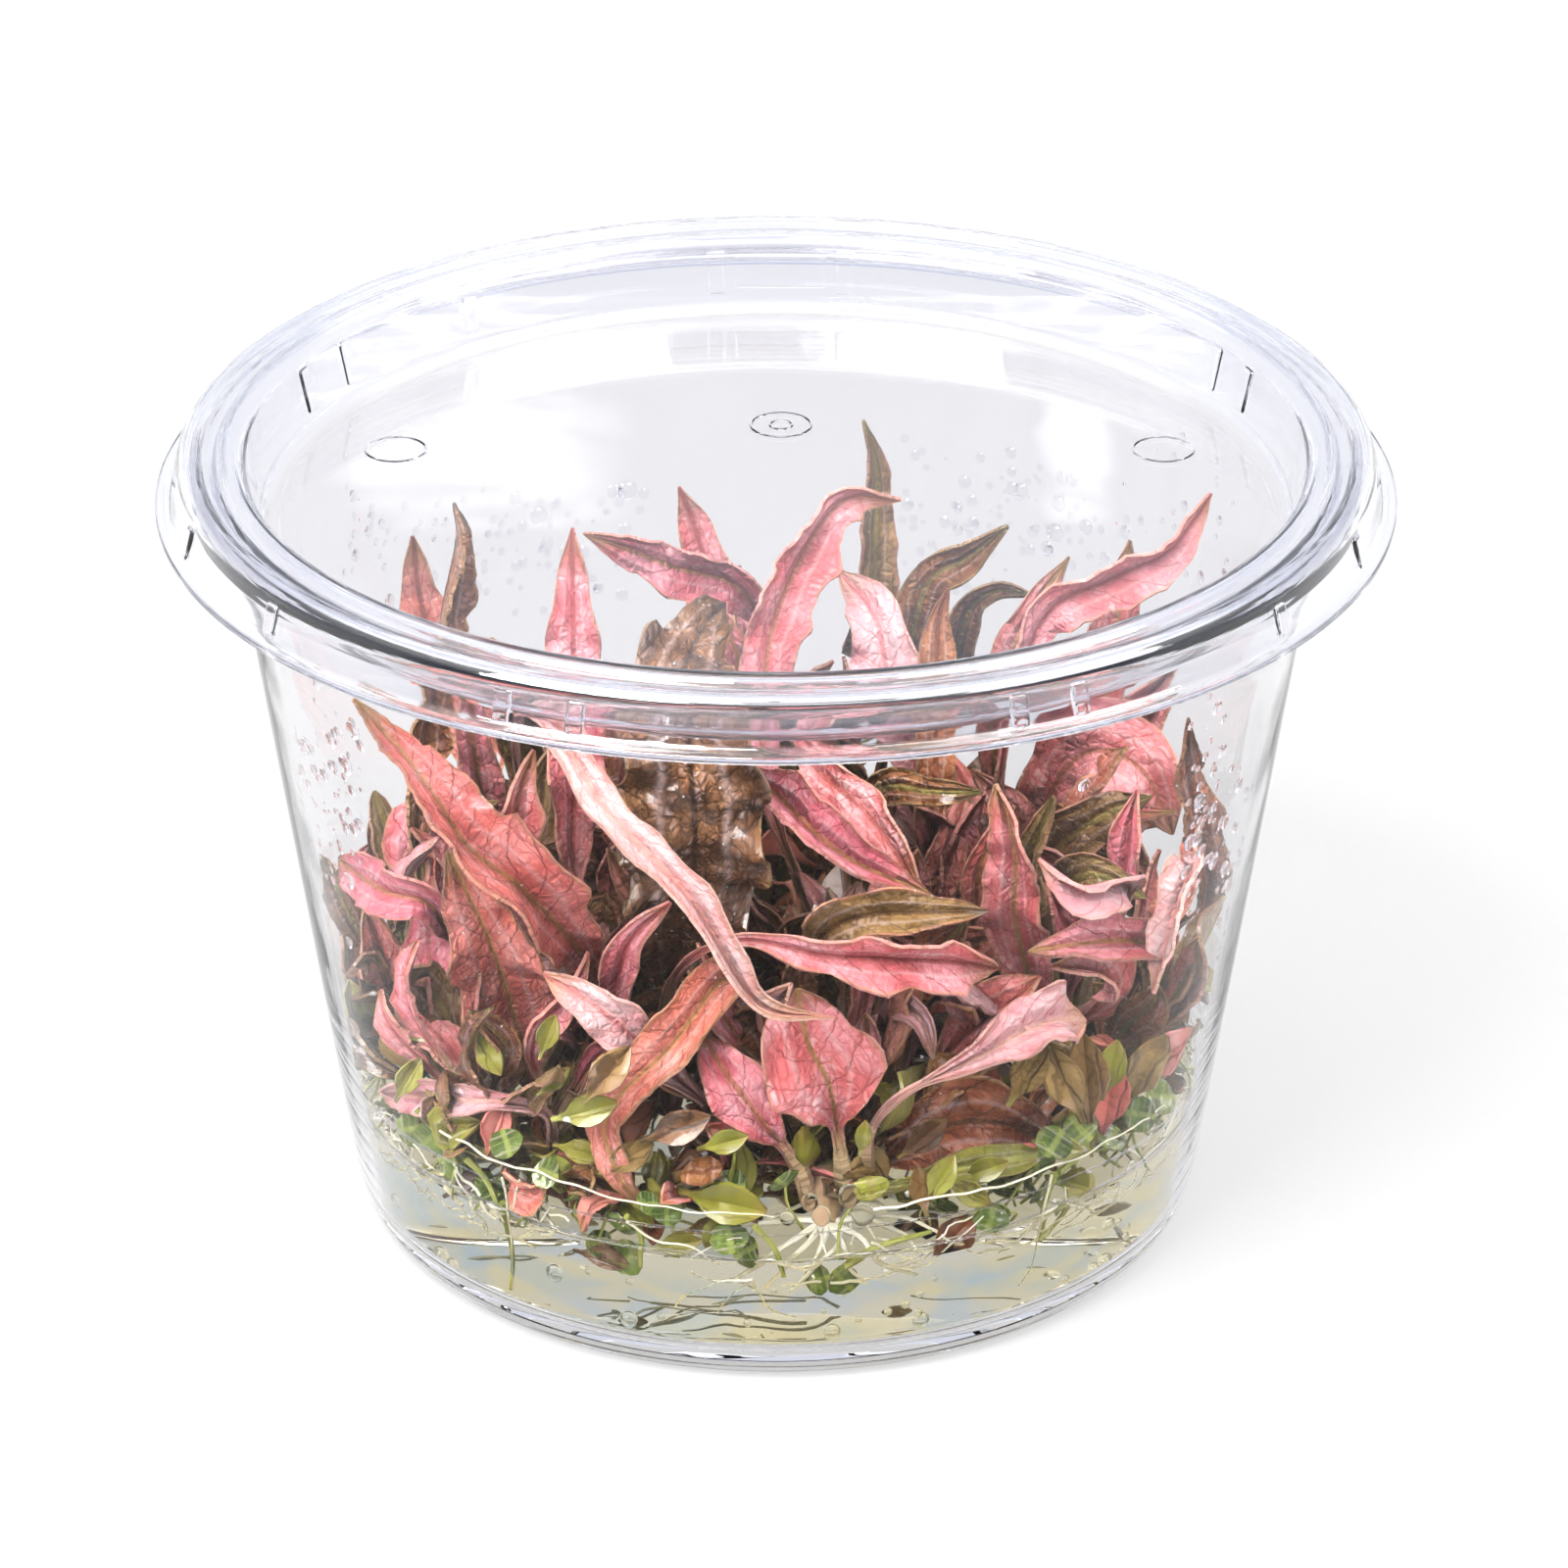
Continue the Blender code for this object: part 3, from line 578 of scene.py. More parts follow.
def leaf_paint(name, light, deep, vein, rib, margin, tip, stalk=STALK_CREAM, net=0.6, wet_and_glints=0.4, painted_sheen=0.55,
               bump=0.6):
    """The paint of one kind of leaf, with painted sheen, glints and shade; its colours are linear."""
    material, tree, shader = paint(name)
    shares = tree.node("ShaderNodeUVMap", {"uv_map": "leaf"})
    lengths = tree.node("ShaderNodeUVMap", {"uv_map": "mm"})
    tone = tree.node("ShaderNodeAttribute", {"attribute_name": "tone"}, {}, "Fac")
    under = tree.node("ShaderNodeAttribute", {"attribute_name": "under"}, {}, "Fac")
    across = abs(shares.part("X") * 2.0 - 1.0)
    away = abs(lengths.part("X"))
    edge = away / across.most(0.02) - away
    grown = shares.part("Y")
    moved = tree.node("ShaderNodeVectorMath", {"operation": "ADD"}, {0: lengths, 1: tone * 40.0})
    stretched = tree.node("ShaderNodeMapping", {}, {"Vector": moved, "Scale": (1.0, 0.35, 1.0)})
    blotch = tree.node("ShaderNodeTexNoise", {}, {"Vector": moved, "Scale": 0.22, "Detail": 3.0})
    grain = tree.node("ShaderNodeTexNoise", {}, {"Vector": moved, "Scale": 1.6, "Detail": 4.0})
    streak = tree.node("ShaderNodeTexNoise", {}, {"Vector": stretched, "Scale": 0.75, "Detail": 3.0})
    slant = lengths.part("Y") / VEIN_PITCH - across * 1.3 + grain * 0.35 + blotch
    side_vein = abs(slant.fraction() - 0.5).step(0.05, 0.01)
    warped = tree.node("ShaderNodeVectorMath", {"operation": "ADD"}, {0: moved, 1: grain * 0.8})
    to_edge = {"feature": "DISTANCE_TO_EDGE"}
    cells = tree.node("ShaderNodeTexVoronoi", to_edge, {"Vector": warped, "Scale": 1.0 / NET_SIZE})
    fine = cells.step(0.05, 0.0)
    pleat = abs((across * PLEATS + blotch * 0.4).fraction() - 0.5)
    long_vein = pleat.step(0.05, 0.0) * grown.step(1.0, 0.5)
    puffed = cells.step(0.0, 0.3)
    middle = away.step(0.45, 0.15)
    colour = blotch.step(0.35, 0.62).mix(light, deep)
    colour = (grain.step(0.45, 0.75) * 0.35).mix(colour, deep)
    # Painted shade: darker in the grooves along the lines of the net.
    colour = ((1.0 - puffed) * 0.2).mix(colour, deep)
    # Painted highlight: a pale sheen in streaks over the raised parts.
    colour = (streak.step(0.50, 0.72) * puffed * painted_sheen).mix(colour, PAINTED_SHEEN)
    colour = (side_vein.most(fine * net).most(long_vein * 0.7) * 0.65).mix(colour, vein)
    # Painted highlight: pale strips along the pleats.
    colour = (pleat.step(0.32, 0.5) * 0.22).mix(colour, PAINTED_SHEEN)
    colour = (edge.step(MARGIN_WIDTH, 0.1) * across.step(0.3, 0.6) * 0.5).mix(colour, margin)
    colour = (grown.step(0.84, 1.0) * 0.8).mix(colour, tip)
    colour = (middle * 0.75).mix(colour, tone.step(0.35, 0.65).mix(rib, vein))
    colour = (under * 0.45).mix(colour, tuple(0.75 * c + 0.10 for c in light))
    colour = grown.step(0.16, -0.12).mix(colour, stalk)
    shade = {"Color": colour, "Value": 0.80 + tone * 0.4, "Hue": 0.49 + (tone * 7.0).fraction() * 0.02}
    shade = tree.node("ShaderNodeHueSaturation", {}, shade)
    place = tree.node("ShaderNodeTexCoord", {}, {}, "Object")
    flat = tree.node("ShaderNodeVectorMath", {"operation": "MULTIPLY"}, {0: place, 1: (1.0, 1.0, 0.0)})
    from_axis = tree.node("ShaderNodeVectorMath", {"operation": "LENGTH"}, {0: flat}, "Value")
    # Painted shade: low down in the middle of the cup each leaf is darkened towards brown.
    painted_shade = from_axis.step(0.036, 0.026) * place.part("Z").step(0.050, 0.034)
    shade = (painted_shade * 0.7).mix(shade, PAINTED_SHADE_BROWN)
    painted_glints = tree.node("ShaderNodeTexVoronoi", {}, {"Vector": moved, "Scale": 0.8}).step(0.12, 0.06)
    damp_and_glints = tree.node("ShaderNodeTexNoise", {}, {"Vector": moved, "Scale": 0.35, "Detail": 2.0})
    damp_and_glints = damp_and_glints.step(0.62 - wet_and_glints * 0.2, 0.72 - wet_and_glints * 0.2)
    pillow = puffed * 0.5 - side_vein * 0.5 + grain * 0.4 + streak * 0.4 + pleat * 1.6
    normal = tree.node("ShaderNodeBump", {}, {"Strength": bump, "Distance": 0.0005, "Height": pillow})
    # Painted highlight: near-white glints in the damp patches, where the coat is also glossy.
    shade = (painted_glints * damp_and_glints * wet_and_glints).mix(shade, GLINT)
    feed(shader, Base_Color=shade, Roughness=0.55 - damp_and_glints * 0.25, Normal=normal)
    feed(shader, Coat_Weight=damp_and_glints * wet_and_glints, Coat_Roughness=0.06, Specular_IOR_Level=0.25)
    return material


# Painted shade: the brown that leaves low in the middle of the cup are darkened to.
PAINTED_SHADE_BROWN = (0.13, 0.047, 0.02)
GOLD = (0.46, 0.27, 0.09)
LOOKS = {
    "rose": leaf_paint(
        "leaf_rose", (0.97, 0.42, 0.44), (0.76, 0.185, 0.195), (0.40, 0.08, 0.07), GOLD, (0.55, 0.30, 0.14),
        (0.35, 0.17, 0.07), net=0.45,
    ),
    "pale": leaf_paint(
        "leaf_pale", (1.0, 0.68, 0.66), (0.96, 0.43, 0.43), (0.75, 0.24, 0.22), (0.95, 0.55, 0.42),
        (0.72, 0.34, 0.22), (0.62, 0.34, 0.18), net=0.3, painted_sheen=0.7,
    ),
    "dusky": leaf_paint(
        "leaf_dusky", (0.98, 0.37, 0.31), (0.72, 0.19, 0.14), (0.25, 0.06, 0.04), GOLD, (0.44, 0.28, 0.10),
        (0.30, 0.21, 0.07), (0.44, 0.26, 0.14), net=0.5, wet_and_glints=0.7, painted_sheen=0.4,
    ),
    "brown": leaf_paint(
        "leaf_brown", (0.50, 0.20, 0.08), (0.24, 0.075, 0.026), (0.08, 0.022, 0.009), (0.38, 0.31, 0.09),
        (0.40, 0.27, 0.09), (0.16, 0.07, 0.03), (0.30, 0.19, 0.08), wet_and_glints=0.9, painted_sheen=0.25, bump=0.9,
    ),
    "amber": leaf_paint(
        "leaf_amber", (0.52, 0.25, 0.11), (0.34, 0.14, 0.05), (0.20, 0.06, 0.02), (0.44, 0.28, 0.09),
        (0.42, 0.22, 0.07), (0.20, 0.08, 0.03), painted_sheen=0.3,
    ),
    "olive": leaf_paint(
        "leaf_olive", (0.48, 0.30, 0.115), (0.24, 0.14, 0.04), (0.10, 0.045, 0.013), (0.42, 0.35, 0.10),
        (0.62, 0.26, 0.19), (0.20, 0.12, 0.04), (0.34, 0.30, 0.10), wet_and_glints=0.8, painted_sheen=0.3,
    ),
    "dark": leaf_paint(
        "leaf_dark", (0.34, 0.17, 0.07), (0.11, 0.048, 0.018), (0.045, 0.018, 0.007), (0.26, 0.17, 0.05),
        (0.34, 0.22, 0.07), (0.18, 0.10, 0.03), (0.14, 0.08, 0.03), wet_and_glints=1.0, painted_sheen=0.45, bump=1.0,
    ),
    "green": leaf_paint(
        "leaf_green", (0.20, 0.27, 0.04), (0.065, 0.105, 0.012), (0.30, 0.35, 0.09), (0.34, 0.40, 0.10),
        (0.28, 0.30, 0.05), (0.26, 0.24, 0.05), (0.50, 0.50, 0.20), net=0.2, wet_and_glints=0.9, painted_sheen=0.1, bump=0.3,
    ),
    "lime": leaf_paint(
        "leaf_lime", (0.44, 0.42, 0.08), (0.25, 0.24, 0.03), (0.22, 0.17, 0.04), (0.58, 0.56, 0.18),
        (0.42, 0.34, 0.08), (0.34, 0.22, 0.06), (0.62, 0.56, 0.26), net=0.3, wet_and_glints=0.9, painted_sheen=0.2, bump=0.4,
    ),
}
print("leaf paints:", ", ".join(LOOKS))

# %% [markdown]
# The grown leaves follow the CAD model, leaf by leaf. Each row gives a leaf's name, the plant that it grows
# from, the bearing at which it leaves the plant, the points that its midrib passes, its width, the shares
# of its length at which it is widest and at which its stalk ends, its roll, its fold and its paint. FORM
# adds what the CAD model leaves out, such as deep crinkles and curled edges.

# %% Grown leaves
CROWN_R = 2.2
STALK_OFF = CROWN_R + 0.3 + 1.1
STALK_FOOT = 15.0
CROWNS = {
    "front": (5, -30),
    "front_left": (-25, -23),
    "left": (-34, -2),
    "centre_left": (-12, -9),
    "centre_right": (10, -6),
    "right": (30, -9),
    "back_left": (-19, 16),
    "back": (3, 24),
    "back_right": (24, 17),
}
LEAVES = [
    ("front_broad", "front", -60, [(6, -34, 22), (5, -35, 29), (3, -34, 33), (2, -31, 37)],
     11, 0.55, 0.30, (0, 0), 0.2, "rose"),
    ("front_low_left", "front", -120, [(2, -33, 19), (-2, -35, 26), (-5, -34, 30), (-7, -31, 32)],
     6, 0.55, 0.30, (0, 0), 0.3, "rose"),
    ("front_slender", "front", 100, [(2, -28, 18), (1, -28, 25), (0, -27, 30), (0, -25, 33)],
     6, 0.50, 0.25, (0, 0), 0.2, "rose"),
    ("front_square_tip", "front", -10, [(9, -34, 23), (12, -37, 29), (19, -37, 33), (25, -34, 35),
                                        (30, -30, 34)],
     6, 0.80, 0.20, (0, 0), 0.4, "pale"),
    ("front_brown", "front", 35, [(11, -30, 18), (16, -31, 22), (21, -30, 22), (27, -27, 18)],
     8, 0.50, 0.10, (0, 0), 0.2, "brown"),
    ("front_reaching_left", "front", 170, [(-3, -28, 19), (-10, -31, 28), (-16, -34, 36), (-22, -33, 40)],
     5, 0.65, 0.25, (0, 0), 0.3, "pale"),
    ("left_arc", "front_left", -60, [(-22, -28, 18), (-22, -32, 24), (-26, -33, 26), (-31, -29, 24),
                                     (-39, -15, 17)],
     3.5, 0.60, 0.15, (30, 30), 0.3, "pale"),
    ("left_low", "front_left", 200, [(-28, -24, 20), (-30, -25, 25), (-33, -23, 28), (-37, -18, 29)],
     4.5, 0.60, 0.25, (0, 0), 0.3, "rose"),
    ("left_big", "front_left", 60, [(-24, -22, 20), (-25, -25, 30), (-27, -28, 40), (-29, -29, 46),
                                    (-31, -29, 51)],
     9, 0.50, 0.15, (0, 0), 0.2, "dusky"),
    ("left_level", "left", -60, [(-31, -10, 27), (-33, -20, 40), (-38, -18, 41), (-43, -8, 39)],
     5, 0.70, 0.30, (0, 0), 0.3, "rose"),
    ("left_upright_brown", "left", 60, [(-35, -1, 27), (-36, 1, 37), (-35, 5, 46), (-33, 8, 57),
                                        (-32, 9, 65), (-33, 9, 69)],
     5, 0.50, 0.30, (0, 0), 0.3, "brown"),
    ("left_twisted", "centre_left", -125, [(-15, -18, 27), (-19, -28, 40), (-24, -33, 49), (-29, -32, 53),
                                           (-34, -29, 60), (-40, -21, 63)],
     7, 0.55, 0.20, (0, 40), 0.3, "dusky"),
    ("left_inner", "centre_left", 200, [(-18, -14, 27), (-25, -20, 43), (-25, -19, 51), (-24, -16, 55)],
     5, 0.60, 0.30, (0, 0), 0.3, "rose"),
    ("left_upright", "centre_left", 150, [(-17, -8, 24), (-20, -4, 34), (-20, 0, 45), (-20, 4, 58),
                                          (-20, 6, 68)],
     6, 0.55, 0.25, (0, 0), 0.2, "rose"),
    ("dark_crinkled", "centre_left", -40, [(-10, -17, 30), (-8, -22, 44), (-8, -22, 54), (-9, -17, 62),
                                           (-7, -10, 65), (-5, -5, 65)],
     14, 0.50, 0.15, (0, 0), 0.1, "dark"),
    ("middle_long", "centre_left", -85, [(-10, -26, 35), (-4, -34, 44), (5, -37, 44), (15, -36, 43),
                                         (21, -32, 40)],
     5, 0.75, 0.35, (0, 0), 0.3, "rose"),
    ("middle_upper", "centre_left", 70, [(-7, -6, 29), (-4, -8, 45), (-1, -14, 50), (6, -24, 48),
                                         (15, -27, 45)],
     4.5, 0.65, 0.35, (0, 0), 0.3, "rose"),
    ("folded_over", "centre_right", -150, [(-2, -17, 28), (-5, -29, 37), (-10, -35, 33), (-16, -37, 27),
                                           (-15, -38, 21), (-12, -37, 16)],
     5, 0.55, 0.25, (0, 0), 0.3, "dusky"),
    ("middle_silver", "centre_right", -100, [(6, -18, 29), (4, -27, 40), (8, -31, 45), (15, -32, 46),
                                             (20, -30, 45)],
     4.5, 0.60, 0.40, (0, 0), 0.3, "olive"),
    ("middle_tan", "centre_right", 100, [(8, -2, 30), (8, -4, 42), (11, -8, 47), (15, -11, 48),
                                         (20, -13, 49)],
     3.5, 0.65, 0.40, (0, 0), 0.2, "brown"),
    ("top_big", "centre_right", 160, [(4, -6, 30), (-1, -6, 46), (-1, 0, 56), (1, 5, 62), (6, 10, 69),
                                      (12, 12, 69)],
     6, 0.60, 0.30, (0, 0), 0.2, "rose"),
    ("top_amber", "centre_right", 40, [(15, 0, 32), (16, 4, 46), (16, 6, 57), (17, 7, 61)],
     4.5, 0.60, 0.30, (0, 0), 0.2, "amber"),
    ("right_curl", "right", 200, [(25, -18, 29), (23, -22, 40), (23, -22, 48), (22, -19, 53)],
     6, 0.55, 0.25, (0, 0), 0.3, "rose"),
    ("right_loop", "right", -115, [(31, -12, 28), (34, -15, 38), (33, -22, 44), (29, -27, 46),
                                   (25, -25, 48)],
     3.5, 0.70, 0.45, (0, 0), 0.3, "pale"),
    ("right_hanging", "right", 10, [(37, -8, 27), (39, -12, 38), (40, -18, 43), (38, -23, 40),
                                    (36, -26, 34)],
     3.5, 0.70, 0.40, (0, 0), 0.3, "pale"),
    ("right_lower", "right", -20, [(34, -12, 22), (38, -15, 30), (36, -20, 36), (31, -25, 39),
                                   (24, -27, 39)],
     4.5, 0.65, 0.35, (0, 0), 0.3, "rose"),
    ("right_tall", "right", 45, [(39, -4, 20), (43, -4, 32), (42, -6, 41), (40, -8, 49), (39, -10, 56)],
     4.5, 0.55, 0.25, (0, 0), 0.2, "brown"),
    ("right_olive", "right", 140, [(28, -8, 26), (28, -10, 36), (31, -13, 40), (36, -14, 38)],
     4.5, 0.60, 0.35, (0, 0), 0.3, "olive"),
    ("right_low_brown", "right", -80, [(32, -14, 19), (34, -17, 25), (36, -20, 29), (37, -21, 32)],
     5, 0.60, 0.25, (0, 0), 0.2, "brown"),
    ("right_low_tan", "right", -50, [(33, -14, 16), (37, -14, 19), (40, -12, 22)],
     3.5, 0.60, 0.20, (0, 0), 0.2, "olive"),
    ("left_magenta", "back_left", -110, [(-26, 10, 24), (-29, 5, 35), (-30, 3, 45), (-31, 2, 53)],
     4.5, 0.60, 0.25, (0, 0), 0.3, "rose"),
    ("pale_ribbon", "back_left", -60, [(-25, 4, 40), (-25, -8, 54), (-21, -22, 60), (-16, -32, 57),
                                       (-8, -39, 51), (-2, -41, 41), (5, -39, 38)],
     3.5, 0.65, 0.20, (0, 0), 0.2, "pale"),
    ("back_left_upright", "back_left", 130, [(-26, 22, 24), (-32, 26, 36), (-36, 28, 48), (-37, 28, 57)],
     6, 0.55, 0.25, (0, 0), 0.2, "dusky"),
    ("top_arch", "back", 200, [(1, 20, 33), (-1, 16, 51), (-4, 14, 58), (-10, 12, 61), (-15, 10, 64),
                               (-19, 9, 66)],
     5, 0.65, 0.45, (0, 0), 0.2, "rose"),
    ("middle_drop", "back", -100, [(2, 16, 32), (1, 6, 47), (4, -6, 48), (9, -14, 47), (14, -20, 42)],
     4.5, 0.70, 0.45, (0, 0), 0.3, "rose"),
    ("top_narrow", "back", 60, [(8, 27, 30), (10, 28, 43), (10, 29, 53), (10, 30, 63), (8, 30, 69)],
     4, 0.60, 0.25, (0, 0), 0.3, "olive"),
    ("top_olive", "back", -30, [(10, 18, 34), (13, 14, 49), (15, 14, 58), (19, 14, 61), (23, 13, 65)],
     4.5, 0.65, 0.35, (0, 0), 0.3, "brown"),
    ("back_upright", "back", 120, [(-1, 32, 26), (-5, 36, 40), (-8, 38, 52), (-10, 38, 58)],
     6, 0.55, 0.25, (0, 0), 0.2, "rose"),
    ("right_rear_olive", "back_right", 275, [(25, 8, 26), (28, 0, 36), (32, -3, 41), (37, -4, 44)],
     6, 0.60, 0.30, (0, 0), 0.3, "olive"),
    ("right_rear_round", "back_right", -30, [(26, 16, 24), (28, 13, 36), (32, 10, 42), (37, 7, 41),
                                             (40, 5, 35)],
     9, 0.60, 0.20, (0, 0), 0.2, "rose"),
    ("top_pale", "back_right", 185, [(17, 10, 33), (12, 6, 47), (10, 8, 57), (7, 14, 59)],
     6.5, 0.65, 0.30, (0, 0), 0.2, "pale"),
    ("top_pointed", "back_right", 140, [(22, 13, 31), (22, 10, 47), (25, 10, 56), (29, 10, 63)],
     4, 0.60, 0.30, (0, 0), 0.3, "rose"),
    ("top_upturned", "back_right", 230, [(22, 8, 36), (24, 4, 52), (27, 4, 60), (34, 6, 63), (39, 8, 65),
                                          (43, 12, 69)],
     5, 0.65, 0.35, (0, 0), 0.3, "rose"),
    ("back_right_upright", "back_right", 50, [(30, 22, 25), (33, 24, 38), (35, 26, 50), (36, 27, 57)],
     6, 0.55, 0.25, (0, 0), 0.2, "dusky"),
]
YOUNG = [
    ("front", [(9, -33, 16), (16, -36, 20), (21, -34, 20), (26, -31, 19)], 3.5, "lime"),
    ("front_left", [(-19, -26, 22), (-16, -28, 33), (-14, -31, 42), (-10, -32, 47)], 3.5, "rose"),
    ("centre_right", [(12, -14, 22), (12, -22, 29), (12, -27, 33), (14, -30, 33), (15, -30, 29)], 3, "pale"),
    ("centre_right", [(16, -10, 27), (19, -13, 34), (20, -14, 42), (23, -14, 48)], 3, "dusky"),
    ("centre_right", [(11, -4, 23), (16, -2, 33), (19, 2, 42)], 4, "rose"),
    ("back", [(12, 24, 26), (17, 22, 37), (19, 20, 51), (22, 19, 55), (26, 18, 55)], 3.5, "brown"),
    ("back", [(6, 20, 22), (8, 10, 36), (6, 4, 46)], 4, "olive"),
    ("back_left", [(-10, 12, 34), (-4, 8, 50), (-5, 8, 56), (-8, 9, 59)], 4, "rose"),
    ("back_left", [(-15, 8, 28), (-14, 4, 38), (-15, 2, 46)], 4, "rose"),
    ("left", [(-38, -9, 25), (-39, -12, 32), (-40, -14, 37)], 4, "dusky"),
    ("left", [(-36, 4, 19), (-39, 8, 28), (-41, 8, 36)], 4, "brown"),
    ("front_left", [(-30, -20, 20), (-33, -16, 29), (-36, -12, 35)], 4, "olive"),
    ("right", [(32, -12, 20), (33, -14, 26), (31, -15, 29)], 3.5, "dusky"),
    ("back_right", [(28, 11, 19), (32, 8, 29), (35, 8, 35)], 4, "rose"),
]
FORM = {
    "dark_crinkled": {
        "crinkle": 0.6, "wave": 0.35, "mesh_size": 0.45, "step": 0.45, "ruffle": 0.3, "seed": 2.9,
    },
    "front_broad": {"wave": 0.2, "crinkle": 0.3, "rise": 0.6, "base": 1.9, "hook": 1.0, "stalk_r": 1.0},
    "front_low_left": {"rise": 0.7, "roll": (-15, 10), "stalk_r": 0.9},
    "front_slender": {"rise": 0.6, "hook": 1.5},
    "front_square_tip": {"rise": 0.55, "roll": (25, -25), "wave": 0.4, "hook": -1.2, "stalk_r": 0.9},
    "front_brown": {
        "crinkle": 0.45, "wave": 0.25, "mesh_size": 0.6, "rise": 0.35, "roll": (-20, 10), "stalk_r": 0.8,
    },
    "front_reaching_left": {"rise": 0.8, "roll": (20, -20)},
    "left_arc": {"rise": 0.7, "roll": (40, -30)},
    "left_low": {"rise": 0.7, "roll": (0, 40), "wave": 0.5},
    "left_big": {"wave": 0.22, "crinkle": 0.3, "rise": 0.3, "roll": (10, -15)},
    "left_level": {"rise": 0.8, "roll": (30, -30)},
    "left_twisted": {"wave": 0.15, "crinkle": 0.3, "rise": 0.75, "roll": (-50, 60), "ruffle": 0.1},
    "left_upright": {"rise": 0.6, "roll": (30, -10)},
    "left_upright_brown": {"rise": 0.7, "roll": (0, 70), "hook": 1.4},
    "left_inner": {"rise": 0.6, "roll": (-30, 30), "hook": 1.5},
    "left_magenta": {"rise": 0.6, "roll": (40, 0)},
    "pale_ribbon": {"wave": 0.12, "crinkle": 0.12, "rise": 0.8, "ruffle": 0.1, "roll": (0, -25), "hook": 1.0},
    "middle_long": {"rise": 0.7, "roll": (-25, 25), "wave": 0.4},
    "middle_silver": {"rise": 0.4, "roll": (25, -10)},
    "middle_upper": {"rise": 0.9, "roll": (30, -30)},
    "middle_drop": {"rise": 0.7, "roll": (-30, 20)},
    "folded_over": {"rise": 0.5, "roll": (-20, 30), "wave": 0.2},
    "top_big": {"rise": 0.55, "roll": (-10, 35), "hook": 1.2},
    "top_pale": {"rise": 0.3, "roll": (10, -10), "hook": 1.5},
    "top_arch": {"rise": 0.5, "roll": (10, -30)},
    "top_upturned": {"rise": 0.6, "roll": (0, 35)},
    "top_narrow": {"rise": 0.8, "roll": (-40, 40), "hook": 1.2},
    "top_olive": {"rise": 0.8, "roll": (40, 0)},
    "right_curl": {"rise": 0.8, "roll": (40, -40), "hook": 1.5, "wave": 0.4},
    "right_loop": {"rise": 0.9, "roll": (50, -50), "wave": 0.4},
    "right_hanging": {"rise": 0.9, "roll": (-40, 60), "wave": 0.3},
    "right_lower": {"rise": 0.8, "roll": (-40, 30), "wave": 0.4},
    "right_tall": {"rise": 0.7, "roll": (-10, 40), "hook": 1.2},
    "right_rear_round": {"crinkle": 0.4, "wave": 0.4, "rise": 0.35},
}


def dress(piece, slot, *nodes, smooth=50.0):
    """Finish a piece: smooth shading, its body and the CAD nodes it stands for, which are hidden; the slot is
    not used.
    """
    select([piece])
    bpy.ops.object.shade_smooth_by_angle(angle=math.radians(smooth))
    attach(piece, "root")
    if nodes:
        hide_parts(*nodes)
    return len(piece.data.polygons)


def foot_of(plant, bearing, height=STALK_FOOT, off=STALK_OFF):
    """Where a leaf leaves its plant."""
    angle = math.radians(bearing)
    x, y = CROWNS[plant]
    return (x + off * math.cos(angle), y + off * math.sin(angle), height)


faces = 0
for number, (name, plant, bearing, points, width, peak, stalk, roll, rise, look) in enumerate(LEAVES):
    form = {"roll": roll, "rise": rise, "seed": number * 0.37 + 0.1, **FORM.get(name, {})}
    piece = leaf([foot_of(plant, bearing), *points], width, peak, stalk, LOOKS[look], **form)
    piece.name = name
    faces += dress(piece, f"leaf_{look}", f"leaf_{name}")
print(len(LEAVES), "grown leaves,", faces, "faces")

# %% [markdown]
# Below the grown leaves each plant has many young ones. The CAD model has the longest of them; the rest are
# spread round the plant by a seeded random choice, so that every run gives the same plant. The long ones
# are mostly pink, as the grown leaves are, and the short ones low down are brown, olive and green.

# %% Plant bases with their young leaves
YOUNG_FOOT = 15.5
YOUNG_PEAK = 0.6
YOUNG_STALK = 0.3
YOUNG_PER_PLANT = 34
ALL_BEARINGS = (0.0, 2 * math.pi)
FRONT_BEARINGS = (-0.2, math.pi + 0.2)
LONG_MIX = ("rose", "rose", "rose", "dusky", "pale", "brown", "olive")
SHORT_MIX = ("brown", "olive", "dark", "dusky", "lime", "dark", "brown", "amber")


def spread_leaf(chance, place, reach, lean):
    """The points of a young leaf that leans out from its plant."""
    x, y = place
    bearing = chance.uniform(*(FRONT_BEARINGS if place == CROWNS["front"] else ALL_BEARINGS))
    out = Vector((math.cos(bearing), math.sin(bearing), 0.0))
    droop = chance.uniform(0.0, 0.5)
    start = Vector((x, y, YOUNG_FOOT - 1.0)) + out * 1.6
    points = [start]
    for share in (0.3, 0.65, 1.0):
        rise = reach * math.cos(lean) * share * (1 - droop * share * share)
        points.append(start + out * (reach * math.sin(lean) * share) + Vector((0.0, 0.0, rise)))
    points[2] += Vector((-out.y, out.x, 0.0)) * chance.uniform(-4, 4)
    points[3] += Vector((-out.y, out.x, 0.0)) * chance.uniform(-3, 3)
    return [tuple(points[0]), *[inside(p) for p in points[1:]]]


def base_lump(place):
    """The swollen foot of one plant: a ball drawn out and pinched into ribs."""
    x, y = place
    bpy.ops.mesh.primitive_uv_sphere_add(segments=18, ring_count=12, radius=1.0)
    lump = bpy.context.object
    mesh = lump.data
    co = coordinates(mesh) * MM
    pinch = 1 + 0.18 * np.cos(np.arctan2(co[:, 1], co[:, 0]) * 6)
    co = np.column_stack([co[:, 0] * 1.9 * pinch + x, co[:, 1] * 1.9 * pinch + y, co[:, 2] * 2.6 + 15.0])
    mesh.vertices.foreach_set("co", (co * MM).ravel())
    shares = np.column_stack([np.full(len(co), 0.5), np.full(len(co), -0.5)])
    set_maps(mesh, shares, co[:, :2], 0.5)
    mesh.materials.append(LOOKS["lime"])
    return lump


